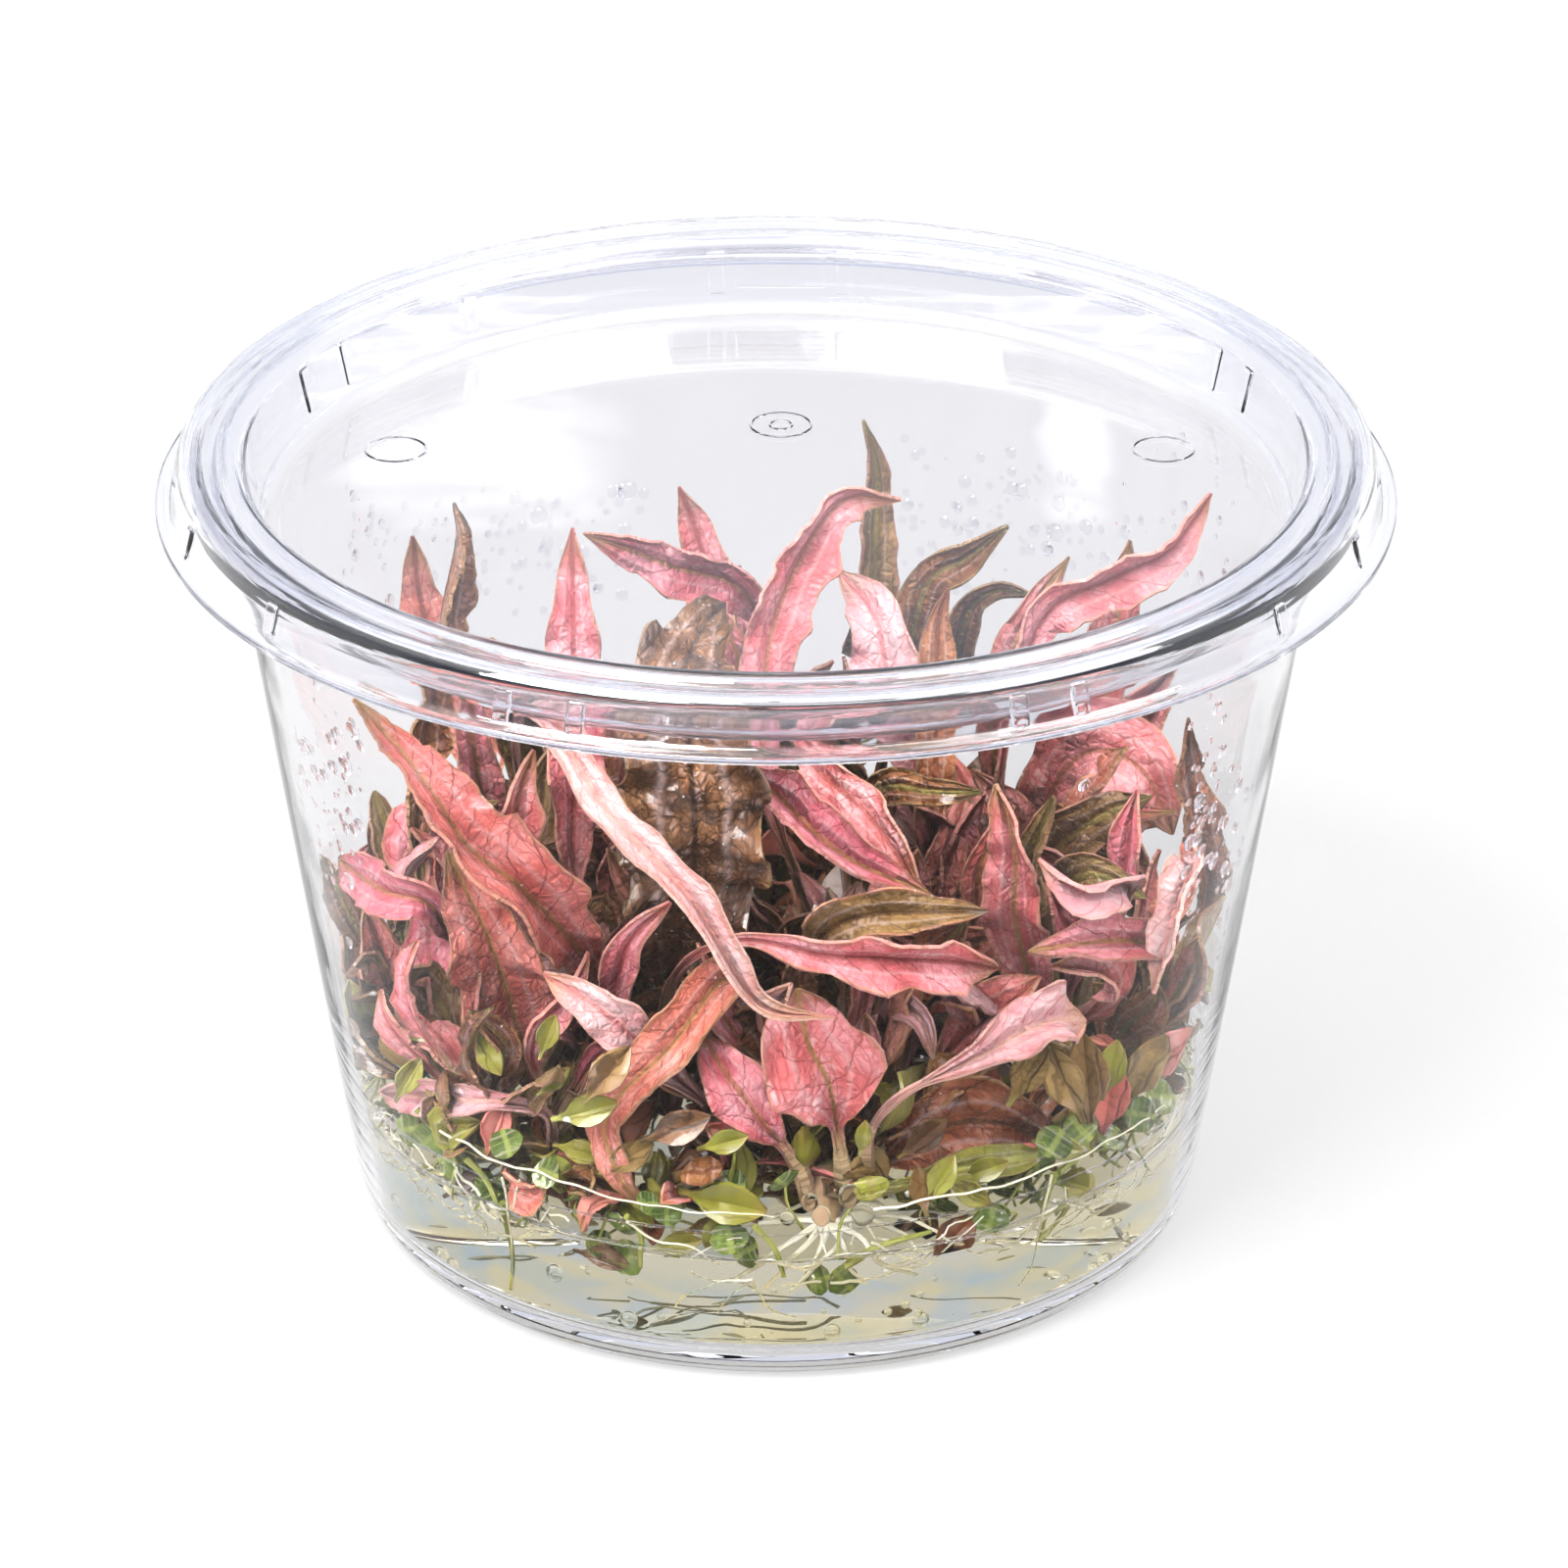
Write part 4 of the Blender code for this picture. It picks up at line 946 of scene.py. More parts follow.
faces = 0
for number, (plant, place) in enumerate(CROWNS.items()):
    chance = random.Random(number + 11)
    made = [base_lump(place)]
    for count, (owner, points, width, look) in enumerate(YOUNG):
        if owner == plant:
            points = [(*place, YOUNG_FOOT), *points]
            made.append(leaf(points, width, YOUNG_PEAK, YOUNG_STALK, LOOKS[look], seed=count * 0.41 + 0.2))
    deep = place[1] > 0
    for count in range(YOUNG_PER_PLANT):
        long = count % 5 > 1
        reach = chance.uniform(26, 46 if deep else 36) if long else chance.uniform(9, 24)
        lean = chance.uniform(0.05, 0.8) if long else chance.uniform(0.4, 1.3)
        points = spread_leaf(chance, place, reach, lean)
        look = LOOKS[chance.choice(LONG_MIX if long else SHORT_MIX)]
        form = {"roll": (chance.uniform(-50, 50), chance.uniform(-90, 90)), "seed": chance.uniform(0, 9)}
        form.update(rise=chance.uniform(0.3, 0.9), hook=chance.uniform(-1.5, 1.5), stalk_r=0.5, step=1.0)
        stalk = chance.uniform(0.3, 0.5)
        made.append(leaf(points, chance.uniform(2.8, 5.2), chance.uniform(0.5, 0.7), stalk, look, **form))
    piece = join(f"plant_base_{plant}", made)
    faces += dress(piece, "stem_base", f"crown_{plant}")
print(len(CROWNS), "plant bases,", faces, "faces")

# %% [markdown]
# Roots are cream threads that wander over the gel and dip into it. Each starts at a plant, leaves it at a
# bearing, and is pushed a little to one side at each step. All the roots of one plant are one mesh of
# tubes. The front plant shows its roots best: they leave its thick short rootstock in a star and go down
# inside the gel to the wall, where the photo gives their pixels; each pixel comes with the distance in from
# the wall. Runners and straight roots lie on the wall itself. Finer ones, from all the plants, creep along
# it under the gel's top.

# %% Roots
def plain_paint(name, light, deep, scale, roughness, bump=0.3, coat=0.0):
    """A paint of two shades in blotches of about a size in metres."""
    material, tree, shader = paint(name)
    place = tree.node("ShaderNodeTexCoord", {}, {}, "Object")
    blotch = tree.node("ShaderNodeTexNoise", {}, {"Vector": place, "Scale": 1.0 / scale, "Detail": 4.0})
    grain = tree.node("ShaderNodeTexNoise", {}, {"Vector": place, "Scale": 4.0 / scale, "Detail": 3.0})
    normal = tree.node("ShaderNodeBump", {}, {"Strength": bump, "Distance": scale * 0.05, "Height": grain})
    colour = blotch.step(0.35, 0.65).mix(light, deep)
    feed(shader, Base_Color=colour, Roughness=roughness + grain * 0.15, Normal=normal)
    feed(shader, Coat_Weight=coat, Coat_Roughness=0.08)
    return material


STOCK_PAINT = plain_paint("rootstock_tan", (0.66, 0.44, 0.28), (0.46, 0.32, 0.14), 0.003, 0.45, coat=0.3)
ROOT_PAINT = plain_paint("root_cream", (1.0, 0.97, 0.80), (0.95, 0.87, 0.62), 0.003, 0.5, coat=0.2)
STEM_PAINT = plain_paint("stem_green", (0.50, 0.50, 0.14), (0.30, 0.33, 0.06), 0.004, 0.4, coat=0.3)


def thread(chance, start, bearing, length, radius):
    """A wandering root from a start: its points and radii."""
    steps = max(int(length / 1.6), 5)
    place = np.array(start, float)
    route = [place.copy()]
    heading = bearing
    for _ in range(steps):
        heading += chance.gauss(0, THREAD_TURN)
        place = place + np.array([math.cos(heading), math.sin(heading), 0.0]) * length / steps
        place[2] += (chance.uniform(THREAD_LOW, THREAD_HIGH) - place[2]) * 0.35
        held = inside(tuple(place), 1.2)
        route.append(np.array((held[0], held[1], place[2])))
    path = smooth_path(route, 0.9)
    return path, np.linspace(radius, radius * 0.45, len(path))


def wall_thread(chance, bearing, z, length, radius):
    """A fine root that creeps along the wall's inner side, inside the gel: its points and radii."""
    steps = max(int(length / 1.2), 4)
    run = chance.choice((-1, 1)) * length / steps
    fall = chance.gauss(-0.1, 0.5)
    route = []
    for _ in range(steps + 1):
        r = wall_radius(z) - WALL - chance.uniform(0.6, 1.6)
        route.append((r * math.cos(bearing), r * math.sin(bearing), z))
        bearing += run * math.cos(fall) / r
        z = min(max(z + abs(run) * math.sin(fall), CREEP_LOW), CREEP_HIGH)
        fall += chance.gauss(0, 0.35)
    path = smooth_path(route, 0.9)
    return path, np.linspace(radius, radius * 0.5, len(path))


THREAD_TURN = 0.22
THREAD_LOW = 12.0
THREAD_HIGH = 15.0
CREEP_LOW = 11.0
CREEP_HIGH = 16.5
ROOTSTOCK = ((5.0, -30.5, 15.6), (4.9, -33.5, 15.2), (4.8, -36.2, 14.2))
STAR_ROOTS = (
    ((824, 1244, 6.8), (792, 1246, 7.2), (748, 1250, 7.2), (700, 1262, 6.4)),
    ((832, 1250, 6.2), (812, 1263, 5.0), (778, 1284, 3.0), (742, 1306, 1.4)),
    ((836, 1252, 6.0), (824, 1268, 4.6), (802, 1288, 2.6), (780, 1312, 1.2)),
    ((843, 1254, 5.8), (838, 1270, 4.2), (826, 1294, 2.0), (806, 1316, 1.2)),
    ((850, 1254, 5.8), (860, 1270, 4.2), (866, 1290, 2.4), (882, 1306, 1.2)),
    ((854, 1251, 6.0), (878, 1262, 4.6), (896, 1284, 2.4), (934, 1298, 1.2)),
    ((860, 1244, 6.8), (890, 1244, 7.2), (920, 1258, 6.0), (962, 1262, 5.4)),
)
WALL_ROOTS = (
    (
        (452, 1152), (480, 1165), (505, 1180), (542, 1192), (580, 1205), (630, 1222), (687, 1232),
        (740, 1236), (790, 1238),
    ),
    (
        (890, 1234), (940, 1224), (985, 1215), (1030, 1206), (1067, 1192), (1110, 1172), (1155, 1147),
        (1210, 1107),
    ),
    ((1071, 1200), (1066, 1220), (1058, 1252), (1052, 1285), (1046, 1300), (1037, 1312)),
    ((768, 1302), (752, 1315), (738, 1330), (732, 1340)),
    ((768, 1302), (776, 1320), (786, 1334), (812, 1341)),
    ((768, 1302), (735, 1308), (706, 1316), (690, 1330)),
    ((532, 1200), (528, 1215), (526, 1232)),
    ((514, 1198), (518, 1215), (520, 1234), (524, 1262), (526, 1312)),
    ((900, 1290), (925, 1292), (950, 1284), (975, 1262), (1002, 1240)),
    ((640, 1245), (668, 1262), (700, 1268), (735, 1290)),
)
ROOT_OFF = 1.5
ROOT_HEIGHT = 14.5
STOCK_RADII = (2.1, 1.0)
STAR_RADIUS = 0.38
WALL_ROOT_RADIUS = 0.14
WALL_ROOT_SEED = 21
FRONT_THREADS = 22
OTHER_THREADS = 9
WALL_THREADS = 10
faces = 0
for number, (plant, (x, y)) in enumerate(CROWNS.items()):
    chance = random.Random(number + 301)
    routes = []
    for _ in range(FRONT_THREADS if plant.startswith("front") else OTHER_THREADS):
        bearing = chance.uniform(0, 2 * math.pi)
        start = (x + ROOT_OFF * math.cos(bearing), y + ROOT_OFF * math.sin(bearing), ROOT_HEIGHT)
        length = chance.uniform(8, 24)
        routes.append(thread(chance, start, bearing, length, chance.uniform(0.18, 0.36)))
    if plant == "front":
        for pixels in STAR_ROOTS:
            path = smooth_path([ROOTSTOCK[-1], *[wall_spot((u, v), inset) for u, v, inset in pixels]], 0.7)
            routes.append((path, np.linspace(STAR_RADIUS, STAR_RADIUS * 0.45, len(path))))
        for pixels in WALL_ROOTS:
            places = [wall_spot(pixel, WALL_ROOT_RADIUS + chance.uniform(0.1, 0.5)) for pixel in pixels]
            path = smooth_path(places, 0.8)
            path = path + rough(path, 0.35, WALL_ROOT_SEED)[:, None] * (0.0, 0.0, 0.5)
            routes.append((path, np.linspace(WALL_ROOT_RADIUS, WALL_ROOT_RADIUS * 0.5, len(path))))
    towards = math.atan2(y, x)
    for _ in range(WALL_THREADS):
        bearing = towards + chance.uniform(-0.45, 0.45)
        radius = chance.uniform(0.10, 0.22)
        routes.append(wall_thread(chance, bearing, chance.uniform(10.0, 16.0), chance.uniform(4, 13), radius))
    piece = tubes(f"roots_{plant}", routes)
    piece.data.materials.append(ROOT_PAINT)
    if plant == "front":
        path = smooth_path(ROOTSTOCK, 0.7)
        stock = tubes("rootstock", [(path, np.linspace(*STOCK_RADII, len(path)))], 3)
        stock.data.materials.append(STOCK_PAINT)
        piece = join(f"roots_{plant}", [piece, stock])
    faces += dress(piece, "stem_base")
print("roots:", faces, "faces")

# %% [markdown]
# Small green plantlets grow between the big plants. Their round leaves are all alike, so one is modelled
# and then copied: a ball is flattened and dished, and its points are turned and moved for each copy. Some
# leaves by the front wall are set by their pixels in the photo. None of the seeded ones is put where it
# would hide the front plant's roots.

# %% Green plantlets
def round_leaf():
    """One round leaf, about one unit long, with its points and faces."""
    bpy.ops.mesh.primitive_uv_sphere_add(segments=12, ring_count=7, radius=1.0)
    obj = bpy.context.object
    mesh = obj.data
    co = np.array([v.co for v in mesh.vertices])
    co = np.column_stack([co[:, 0], co[:, 1] * (0.80 + 0.14 * co[:, 0]), co[:, 2] * 0.16])
    co[:, 2] += 0.22 * (co[:, 0] ** 2 + co[:, 1] ** 2) - 0.1 * np.exp(-((co[:, 1] / 0.15) ** 2))
    polygons = [tuple(p.vertices) for p in mesh.polygons]
    bpy.data.objects.remove(obj)
    return co, polygons


def copies(name, shape, spots, look, lowest=SMALL_LOWEST):
    """Copies of a shape in one mesh; a spot is a place, three axes and a size in millimetres, and a tone."""
    co, polygons = shape
    places = []
    tones = []
    rings = []
    for place, axes, size, tone in spots:
        rings += [tuple(i + len(places) * len(co) for i in ring) for ring in polygons]
        places.append((co * size) @ np.array(axes) + np.array(place))
        tones.append(np.full(len(co), tone))
    mesh = bpy.data.meshes.new(name)
    mesh.from_pydata(hold_inside(np.vstack(places), 0.15, lowest) * MM, [], rings)
    obj = bpy.data.objects.new(name, mesh)
    scene.collection.objects.link(obj)
    flat = np.tile(co[:, :2] * 0.5 + 0.5, (len(spots), 1))
    shares = np.column_stack([flat[:, 1], flat[:, 0] * 0.8 + 0.15])
    set_maps(mesh, shares, (flat - 0.5) * 4.0, np.concatenate(tones))
    mesh.materials.append(look)
    return obj


def turned_axes(chance, tilt, facing=(0.0, 0.0, 1.0)):
    """Three axes that point any way round and lean from a facing by up to a tilt."""
    lean = np.array([chance.gauss(0, tilt), chance.gauss(0, tilt), chance.gauss(0, tilt * 0.5)]) + facing
    up = lean / np.linalg.norm(lean)
    spin = chance.uniform(0, 2 * math.pi)
    first = np.cross(up, (math.cos(spin), math.sin(spin), 0.3))
    first = first / np.linalg.norm(first)
    return [first, np.cross(up, first), up]


def hides_star(place):
    """Whether a thing at a place would stand before the front plant's star of roots."""
    u, v = pixel_of(place)
    return STAR_BOX[0] < u < STAR_BOX[2] and STAR_BOX[1] < v < STAR_BOX[3] and place[1] < STAR_FRONT


ROUND_LEAF = round_leaf()
STAR_BOX = (760, 1222, 940, 1330)
STAR_FRONT = -26.0
TUFT_SPOTS = {
    "left": [(-35, -15, 9), (-31, -22, 9), (-27, -29, 8), (-37, -8, 6)],
    "front": [(-3, -38, 6), (-12, -36, 8), (-19, -33, 9), (6, -38, 6)],
    "front_right": [(17, -33, 9), (25, -28, 14), (32, -20, 16), (37, -10, 10)],
}
GREEN_PIXELS = {
    "left": [(425, 1150), (443, 1158), (466, 1182), (520, 1165), (560, 1195)],
    "front": [(612, 1268), (640, 1283), (745, 1262), (760, 1275), (835, 1303), (858, 1304), (680, 1235)],
    "front_right": [(1010, 1242), (1075, 1165), (1100, 1150), (1130, 1160), (1160, 1135), (1180, 1118)],
}
STEM_PIXELS = {
    "left": [((515, 1225), (526, 1312)), ((478, 1180), (510, 1228)), ((428, 1130), (470, 1185))],
    "front": [((640, 1240), (655, 1290)), ((770, 1250), (800, 1300)), ((860, 1290), (950, 1255))],
    "front_right": [((1074, 1196), (1056, 1262)), ((1056, 1262), (1086, 1228)), ((1078, 1195), (1102, 1176))],
}
AMBER_SPOT = (717, 1197)
TOWARDS_CAMERA = (0.0, -0.8, 0.6)
faces = 0
for number, (name, groups) in enumerate(TUFT_SPOTS.items()):
    chance = random.Random(number + 71)
    greens = []
    limes = []
    stems = []
    for x, y, count in groups:
        for each in range(count):
            place = (x + chance.gauss(0, 3.2), y + chance.gauss(0, 3.0), chance.uniform(13.4, 19))
            place = inside(place, 2.6)
            spot = (place, turned_axes(chance, 0.7), chance.uniform(1.1, 2.2), chance.random())
            if hides_star(place):
                continue
            (limes if each % 4 == 1 else greens).append(spot)
            foot = (place[0] + chance.gauss(0, 2), place[1] + chance.gauss(0, 2), 13.0)
            knee = tuple((np.array(place) + np.array(foot)) / 2 + np.array([chance.gauss(0, 1), 0.0, 0.5]))
            path = hold_inside(smooth_path([foot, knee, place], 1.0), 0.5)
            stems.append((path, np.full(len(path), 0.15)))
    for pixel in GREEN_PIXELS[name]:
        axes = turned_axes(chance, 0.25, TOWARDS_CAMERA)
        greens.append((wall_spot(pixel, 1.6), axes, chance.uniform(1.5, 2.0), chance.uniform(0.3, 0.9)))
    for start, end in STEM_PIXELS[name]:
        a = wall_spot(start, 1.3)
        b = wall_spot(end, 1.3)
        bow = (a + b) / 2 + np.array([chance.gauss(0, 0.5), 0.6, chance.gauss(0, 0.4)])
        path = smooth_path([a, bow, b], 1.0)
        stems.append((path, np.linspace(0.38, 0.22, len(path))))
    made = [copies("round_leaves", ROUND_LEAF, greens, LOOKS["green"])]
    if name == "front":
        amber = [(wall_spot(AMBER_SPOT, 4.0), turned_axes(chance, 0.4, TOWARDS_CAMERA), 2.6, 0.8)]
        made.append(copies("amber_leaf", ROUND_LEAF, amber, LOOKS["amber"]))
    made.append(copies("lime_leaves", ROUND_LEAF, limes, LOOKS["lime"]))
    stalks = tubes("stems", stems, 1)
    stalks.data.materials.append(STEM_PAINT)
    made.append(stalks)
    piece = join(f"plantlets_{name}", made)
    faces += dress(piece, "plantlet_green", f"tuft_{name}")
print("plantlets:", faces, "faces; the wall spot of the front root:", wall_spot((848, 1230)).round(1))

# %% [markdown]
# Between the plants the gel is hidden by small leaves, olive and brown, with some green. They are too many
# to model one by one. Three small blades are made with the same helper as the big leaves, and each is
# copied to seeded places over the whole of the gel, turned and leant at random. LITTER gives how many there
# are of each blade, the lowest height and the greatest one at the back. A few that stand out in the photo
# are set by their pixels and turned as they lie in the picture. Their rows give the pixel, the distance in
# from the wall, the turn in degrees and the length.

# %% Small leaves over the gel
SMALL_LENGTH = 5.6
SMALL_WIDTH = 2.7
SMALL_LEAF = {"wave": 0.5, "crinkle": 0.0, "ruffle": 0.0, "rise": 0.4, "slim": 0.2, "thick": 0.25}
UPWARD = np.array((0.0, 0.0, 1.0))
LITTER = {
    "lime": (80, 13.6, 24),
    "olive": (90, 14, 27),
    "brown": (60, 15, 30),
    "dark": (85, 14, 26),
    "dusky": (35, 16, 34),
}
LITTER_RADIUS = 40.0
LITTER_FRONT = 40.0
LITTER_SLOPE = 30.0
PLACED_LEAVES = {
    "lime": [
        (598, 1132, 3.0, 15, 6.5), (560, 1056, 4.0, 70, 4.5), (500, 1072, 3.0, -60, 5.0),
        (566, 1102, 4.0, 40, 4.0), (592, 1172, 4.0, -12, 5.0), (738, 1224, 4.5, -12, 8.5),
        (738, 1164, 5.0, 15, 5.0), (880, 1160, 6.0, 80, 3.5), (958, 1202, 3.5, 60, 5.5),
        (986, 1214, 3.0, -30, 5.0), (1002, 1192, 3.5, 20, 5.0), (1078, 1168, 2.5, -10, 5.0),
        (1108, 1158, 2.0, 100, 4.0), (420, 1100, 2.0, 60, 5.0), (1130, 1090, 3.0, 75, 6.0),
        (690, 1268, 3.0, 10, 5.0),
    ],
    "olive": [
        (940, 1214, 4.0, 100, 5.0), (1046, 1094, 4.0, 60, 7.0), (1106, 1100, 3.5, 95, 9.0),
        (1085, 1105, 3.5, 115, 8.0), (640, 1180, 5.0, 30, 6.0), (620, 1095, 4.0, 50, 7.0),
        (460, 1125, 2.5, -30, 5.0), (1165, 1090, 2.5, 60, 8.0),
    ],
    "dark": [
        (616, 1280, 1.8, -15, 5.5), (480, 1205, 3.0, 30, 5.0), (690, 1150, 6.0, 20, 7.0),
        (940, 1160, 6.0, 40, 6.0),
    ],
    "dusky": [
        (1186, 1075, 2.0, 40, 8.0), (1128, 1120, 3.5, 80, 8.0), (508, 1150, 3.0, 70, 6.0),
    ],
}


def small_leaf(bend):
    """A short bent blade, one unit long, as points and faces."""
    shares = ((0.0, 0.0), (0.3, 0.2), (0.6, 0.28 + bend), (1.0, 0.28 - bend))
    path = [(SMALL_LENGTH * along, 0.0, SMALL_LENGTH * (up + 4.0)) for along, up in shares]
    obj, spine, face = blade(smooth_path(path, 0.9), SMALL_WIDTH, 0.55, 0.15, facing=UPWARD, **SMALL_LEAF)
    co = coordinates(obj.data) / SMALL_LENGTH - (0.0, 0.0, 4.0)
    polygons = [tuple(p.vertices) for p in obj.data.polygons]
    bpy.data.objects.remove(obj)
    return co, polygons


def facing_axes(turn):
    """Three axes of a leaf that faces the camera and points at a turn in degrees from the picture's right."""
    down = math.radians(CAMERA_DOWN)
    angle = math.radians(turn)
    first = np.array([math.cos(angle), math.sin(angle) * math.sin(down), math.sin(angle) * math.cos(down)])
    up = np.array([0.0, -math.cos(down), math.sin(down)])
    return [first, np.cross(up, first), up]


SMALL_LEAVES = [small_leaf(bend) for bend in (0.14, 0.0, -0.16)]
faces = 0
for number, (look, (count, low, high)) in enumerate(LITTER.items()):
    chance = random.Random(number + 901)
    made = []
    for shape in SMALL_LEAVES:
        spots = []
        for _ in range(count):
            r = LITTER_RADIUS * math.sqrt(chance.random())
            angle = chance.uniform(0, 2 * math.pi)
            deep = min(max((r * math.sin(angle) + LITTER_FRONT) / LITTER_SLOPE, 0.1), 1.0)
            z = chance.uniform(low, low + (high - low) * deep)
            place = inside((r * math.cos(angle), r * math.sin(angle), z), 3.0)
            spot = (place, turned_axes(chance, 0.8), chance.uniform(3.8, 8.0), chance.random())
            if not hides_star(place):
                spots.append(spot)
        made.append(copies("litter", shape, spots, LOOKS[look], GEL_TOP + 0.1))
    placed = []
    for u, v, inset, turn, size in PLACED_LEAVES.get(look, []):
        axes = facing_axes(turn)
        start = wall_spot((u, v), inset) - axes[0] * size / 2
        placed.append((start, axes, size, chance.random()))
    if placed:
        made.append(copies("placed", SMALL_LEAVES[1], placed, LOOKS[look]))
    piece = join(f"small_leaves_{look}", made)
    faces += dress(piece, "plantlet_green" if look == "lime" else f"leaf_{look}")
print("small leaves:", faces, "faces")

# %% [markdown]
# The cup is turned. Its profile is drawn as a few corners, each corner is rounded, and a Screw modifier
# sweeps the line round. What makes clear plastic look real is its shape, since the material itself is
# almost nothing: light passes, is bent a little, and takes on the faintest blue where it goes through many
# walls. Smooth shading over a tight corner bends light the wrong way, so these bodies are smooth only round
# the axis, where the faces turn by less than two degrees, and each corner of the profile gets enough faces
# instead.

# %% Clear plastic and turned shapes
TURN_STEPS = 180
ROUND_ONLY = 4.0
LEVEL = 0.9995


def clear_paint(name, colour, ior, mirror=0.5, flow_bump=0.12, frost=0.0, coat=0.0):
    """A see-through paint, with faint unevenness from moulding."""
    material, tree, shader = paint(name)
    place = tree.node("ShaderNodeTexCoord", {}, {}, "Object")
    flow = tree.node("ShaderNodeTexNoise", {}, {"Vector": place, "Scale": 90.0, "Detail": 1.0})
    normal = tree.node("ShaderNodeBump", {}, {"Strength": flow_bump, "Distance": 0.0004, "Height": flow})
    feed(shader, Base_Color=colour, Roughness=frost, IOR=ior, Transmission_Weight=1.0, Normal=normal)
    feed(shader, Specular_IOR_Level=mirror, Coat_Weight=coat, Coat_Roughness=0.02)
    return material


def rounded(profile, radius, steps=6):
    """A profile of (r, z) whose inner corners are made round."""
    line = [np.array(p, float) for p in profile]
    made = [line[0]]
    for before, corner, after in zip(line, line[1:], line[2:]):
        cut = min(radius, np.linalg.norm(before - corner) * 0.45, np.linalg.norm(after - corner) * 0.45)
        a = corner + (before - corner) / np.linalg.norm(before - corner) * cut
        b = corner + (after - corner) / np.linalg.norm(after - corner) * cut
        for t in np.linspace(0.0, 1.0, steps):
            made.append(a * (1 - t) ** 2 + corner * 2 * t * (1 - t) + b * t**2)
    made.append(line[-1])
    return made


def dress_clear(obj, slot, node):
    """Finish a clear body: level faces flat, to mirror as one pane, and the rest smooth round the axis."""
    count = dress(obj, slot, node, smooth=ROUND_ONLY)
    for polygon in obj.data.polygons:
        polygon.use_smooth = polygon.use_smooth and abs(polygon.normal.z) < LEVEL
    return count


def turned(name, profile, material, steps=TURN_STEPS):
    """A solid turned from a profile that runs down its outer side."""
    mesh = bpy.data.meshes.new(name)
    edges = [(i, i + 1) for i in range(len(profile) - 1)]
    mesh.from_pydata([(r * MM, 0.0, z * MM) for r, z in profile], edges, [])
    obj = bpy.data.objects.new(name, mesh)
    scene.collection.objects.link(obj)
    select([obj])
    screw = obj.modifiers.new("turn", "SCREW")
    screw.steps = steps
    screw.render_steps = steps
    screw.use_merge_vertices = True
    screw.merge_threshold = 0.00001
    bpy.ops.object.modifier_apply(modifier=screw.name)
    obj.data.materials.append(material)
    return obj


PLASTIC = clear_paint("clear_plastic", (0.90, 0.895, 0.905), 1.20, mirror=0.22)
neck = RIM_TOP - 3.4
CUP_PROFILE = [
    (0.0, FLOOR_TOP), (39.6, FLOOR_TOP), (wall_radius(3.9) - WALL, 3.9), (wall_radius(neck) - WALL, neck),
    (53.0, RIM_TOP), (56.2, RIM_TOP), (56.6, RIM_TOP - 0.5), (56.6, RIM_TOP - 2.0), (55.6, RIM_TOP - 2.2),
    (wall_radius(neck), neck - 0.6), (wall_radius(4.4), 4.4), (wall_radius(3.6) - 0.25, 3.4),
    (FOOT_R + 1.5, 1.7), (FOOT_R + 1.1, 1.2), (FOOT_R, 0.0), (FOOT_R - 1.4, 0.0), (FOOT_R - 2.0, 0.7),
    (0.0, 0.7),
]
cup = turned("culture_cup", rounded(CUP_PROFILE, 0.9), PLASTIC)
print("cup:", dress_clear(cup, "clear_plastic", "cup"), "faces")

# %% [markdown]
# The lid is turned too, and then gets what isn't round: lugs inside its rim that centre a cup stacked on
# top, a shallow pocket between two of them, ribs on its skirt that stiffen it, and three faint rings on its
# panel. Each is a block or ring with its edges bevelled, set in place, and joined to the lid by one Boolean
# union so that the plastic is one clear body. The panel is glass clear; the rim round it is a little
# frosted but has a glossy skin, so it gets a paint of its own, with some roughness below a smooth coat.

# %% Lid
LIP_R = 60.0
LUG_BEARINGS = (113, 120, 172, 187, 218, 238, 247)
RIB_BEARINGS = (-72, -53, -25, -18, 22, 28, 53, 70)
RING_SPOTS = ((-37.6, 14.2), (0.5, 20.2), (38.3, 14.2))
RING_R = 3.0
RING_THICK = 0.13
POCKET_BEARING = 179.5
LUG_HEIGHT = PANEL_TOP + 4.0
LUG_RADIUS = 50.72
LUG_SIZE = (0.9, 2.0, 4.6)
SKIRT_RIB_HEIGHT = 77.8
SKIRT_RIB_RADIUS = 58.15
SKIRT_RIB_SIZE = (0.9, 1.9, 3.4)
POCKET_RADIUS = 50.65
POCKET_SIZE = (0.9, 9.5, 3.4)
BLOCK_BEVEL = 0.42
POCKET_BEVEL = 0.3
DIMPLE_R = 1.1
LID_PROFILE = [
    (0.0, PANEL_TOP), (48.6, PANEL_TOP), (49.8, PANEL_TOP + 0.8), (51.2, HEIGHT - 1.0), (52.1, HEIGHT),
    (53.4, HEIGHT), (54.0, HEIGHT - 0.8), (55.2, HEIGHT - 0.8), (55.8, HEIGHT), (57.0, HEIGHT - 0.1),
    (57.8, HEIGHT - 0.9), (58.1, 78.4), (58.8, 76.5), (59.4, 76.1), (LIP_R, 76.1), (LIP_R, 75.3),
    (59.1, 75.3), (58.2, 76.0), (57.5, 78.3), (57.2, 79.8), (56.7, 80.3), (56.1, 80.3), (55.6, 79.5),
    (53.6, 79.5), (53.0, 80.3), (52.5, 80.3), (51.9, 79.8), (50.5, PANEL_TOP + 0.3), (49.2, PANEL_TOP - 0.7),
    (0.0, PANEL_TOP - 0.7),
]
RIM_FROM = 49.4
WALL_LEAN = 13.0
RIB_LEAN = -14.0


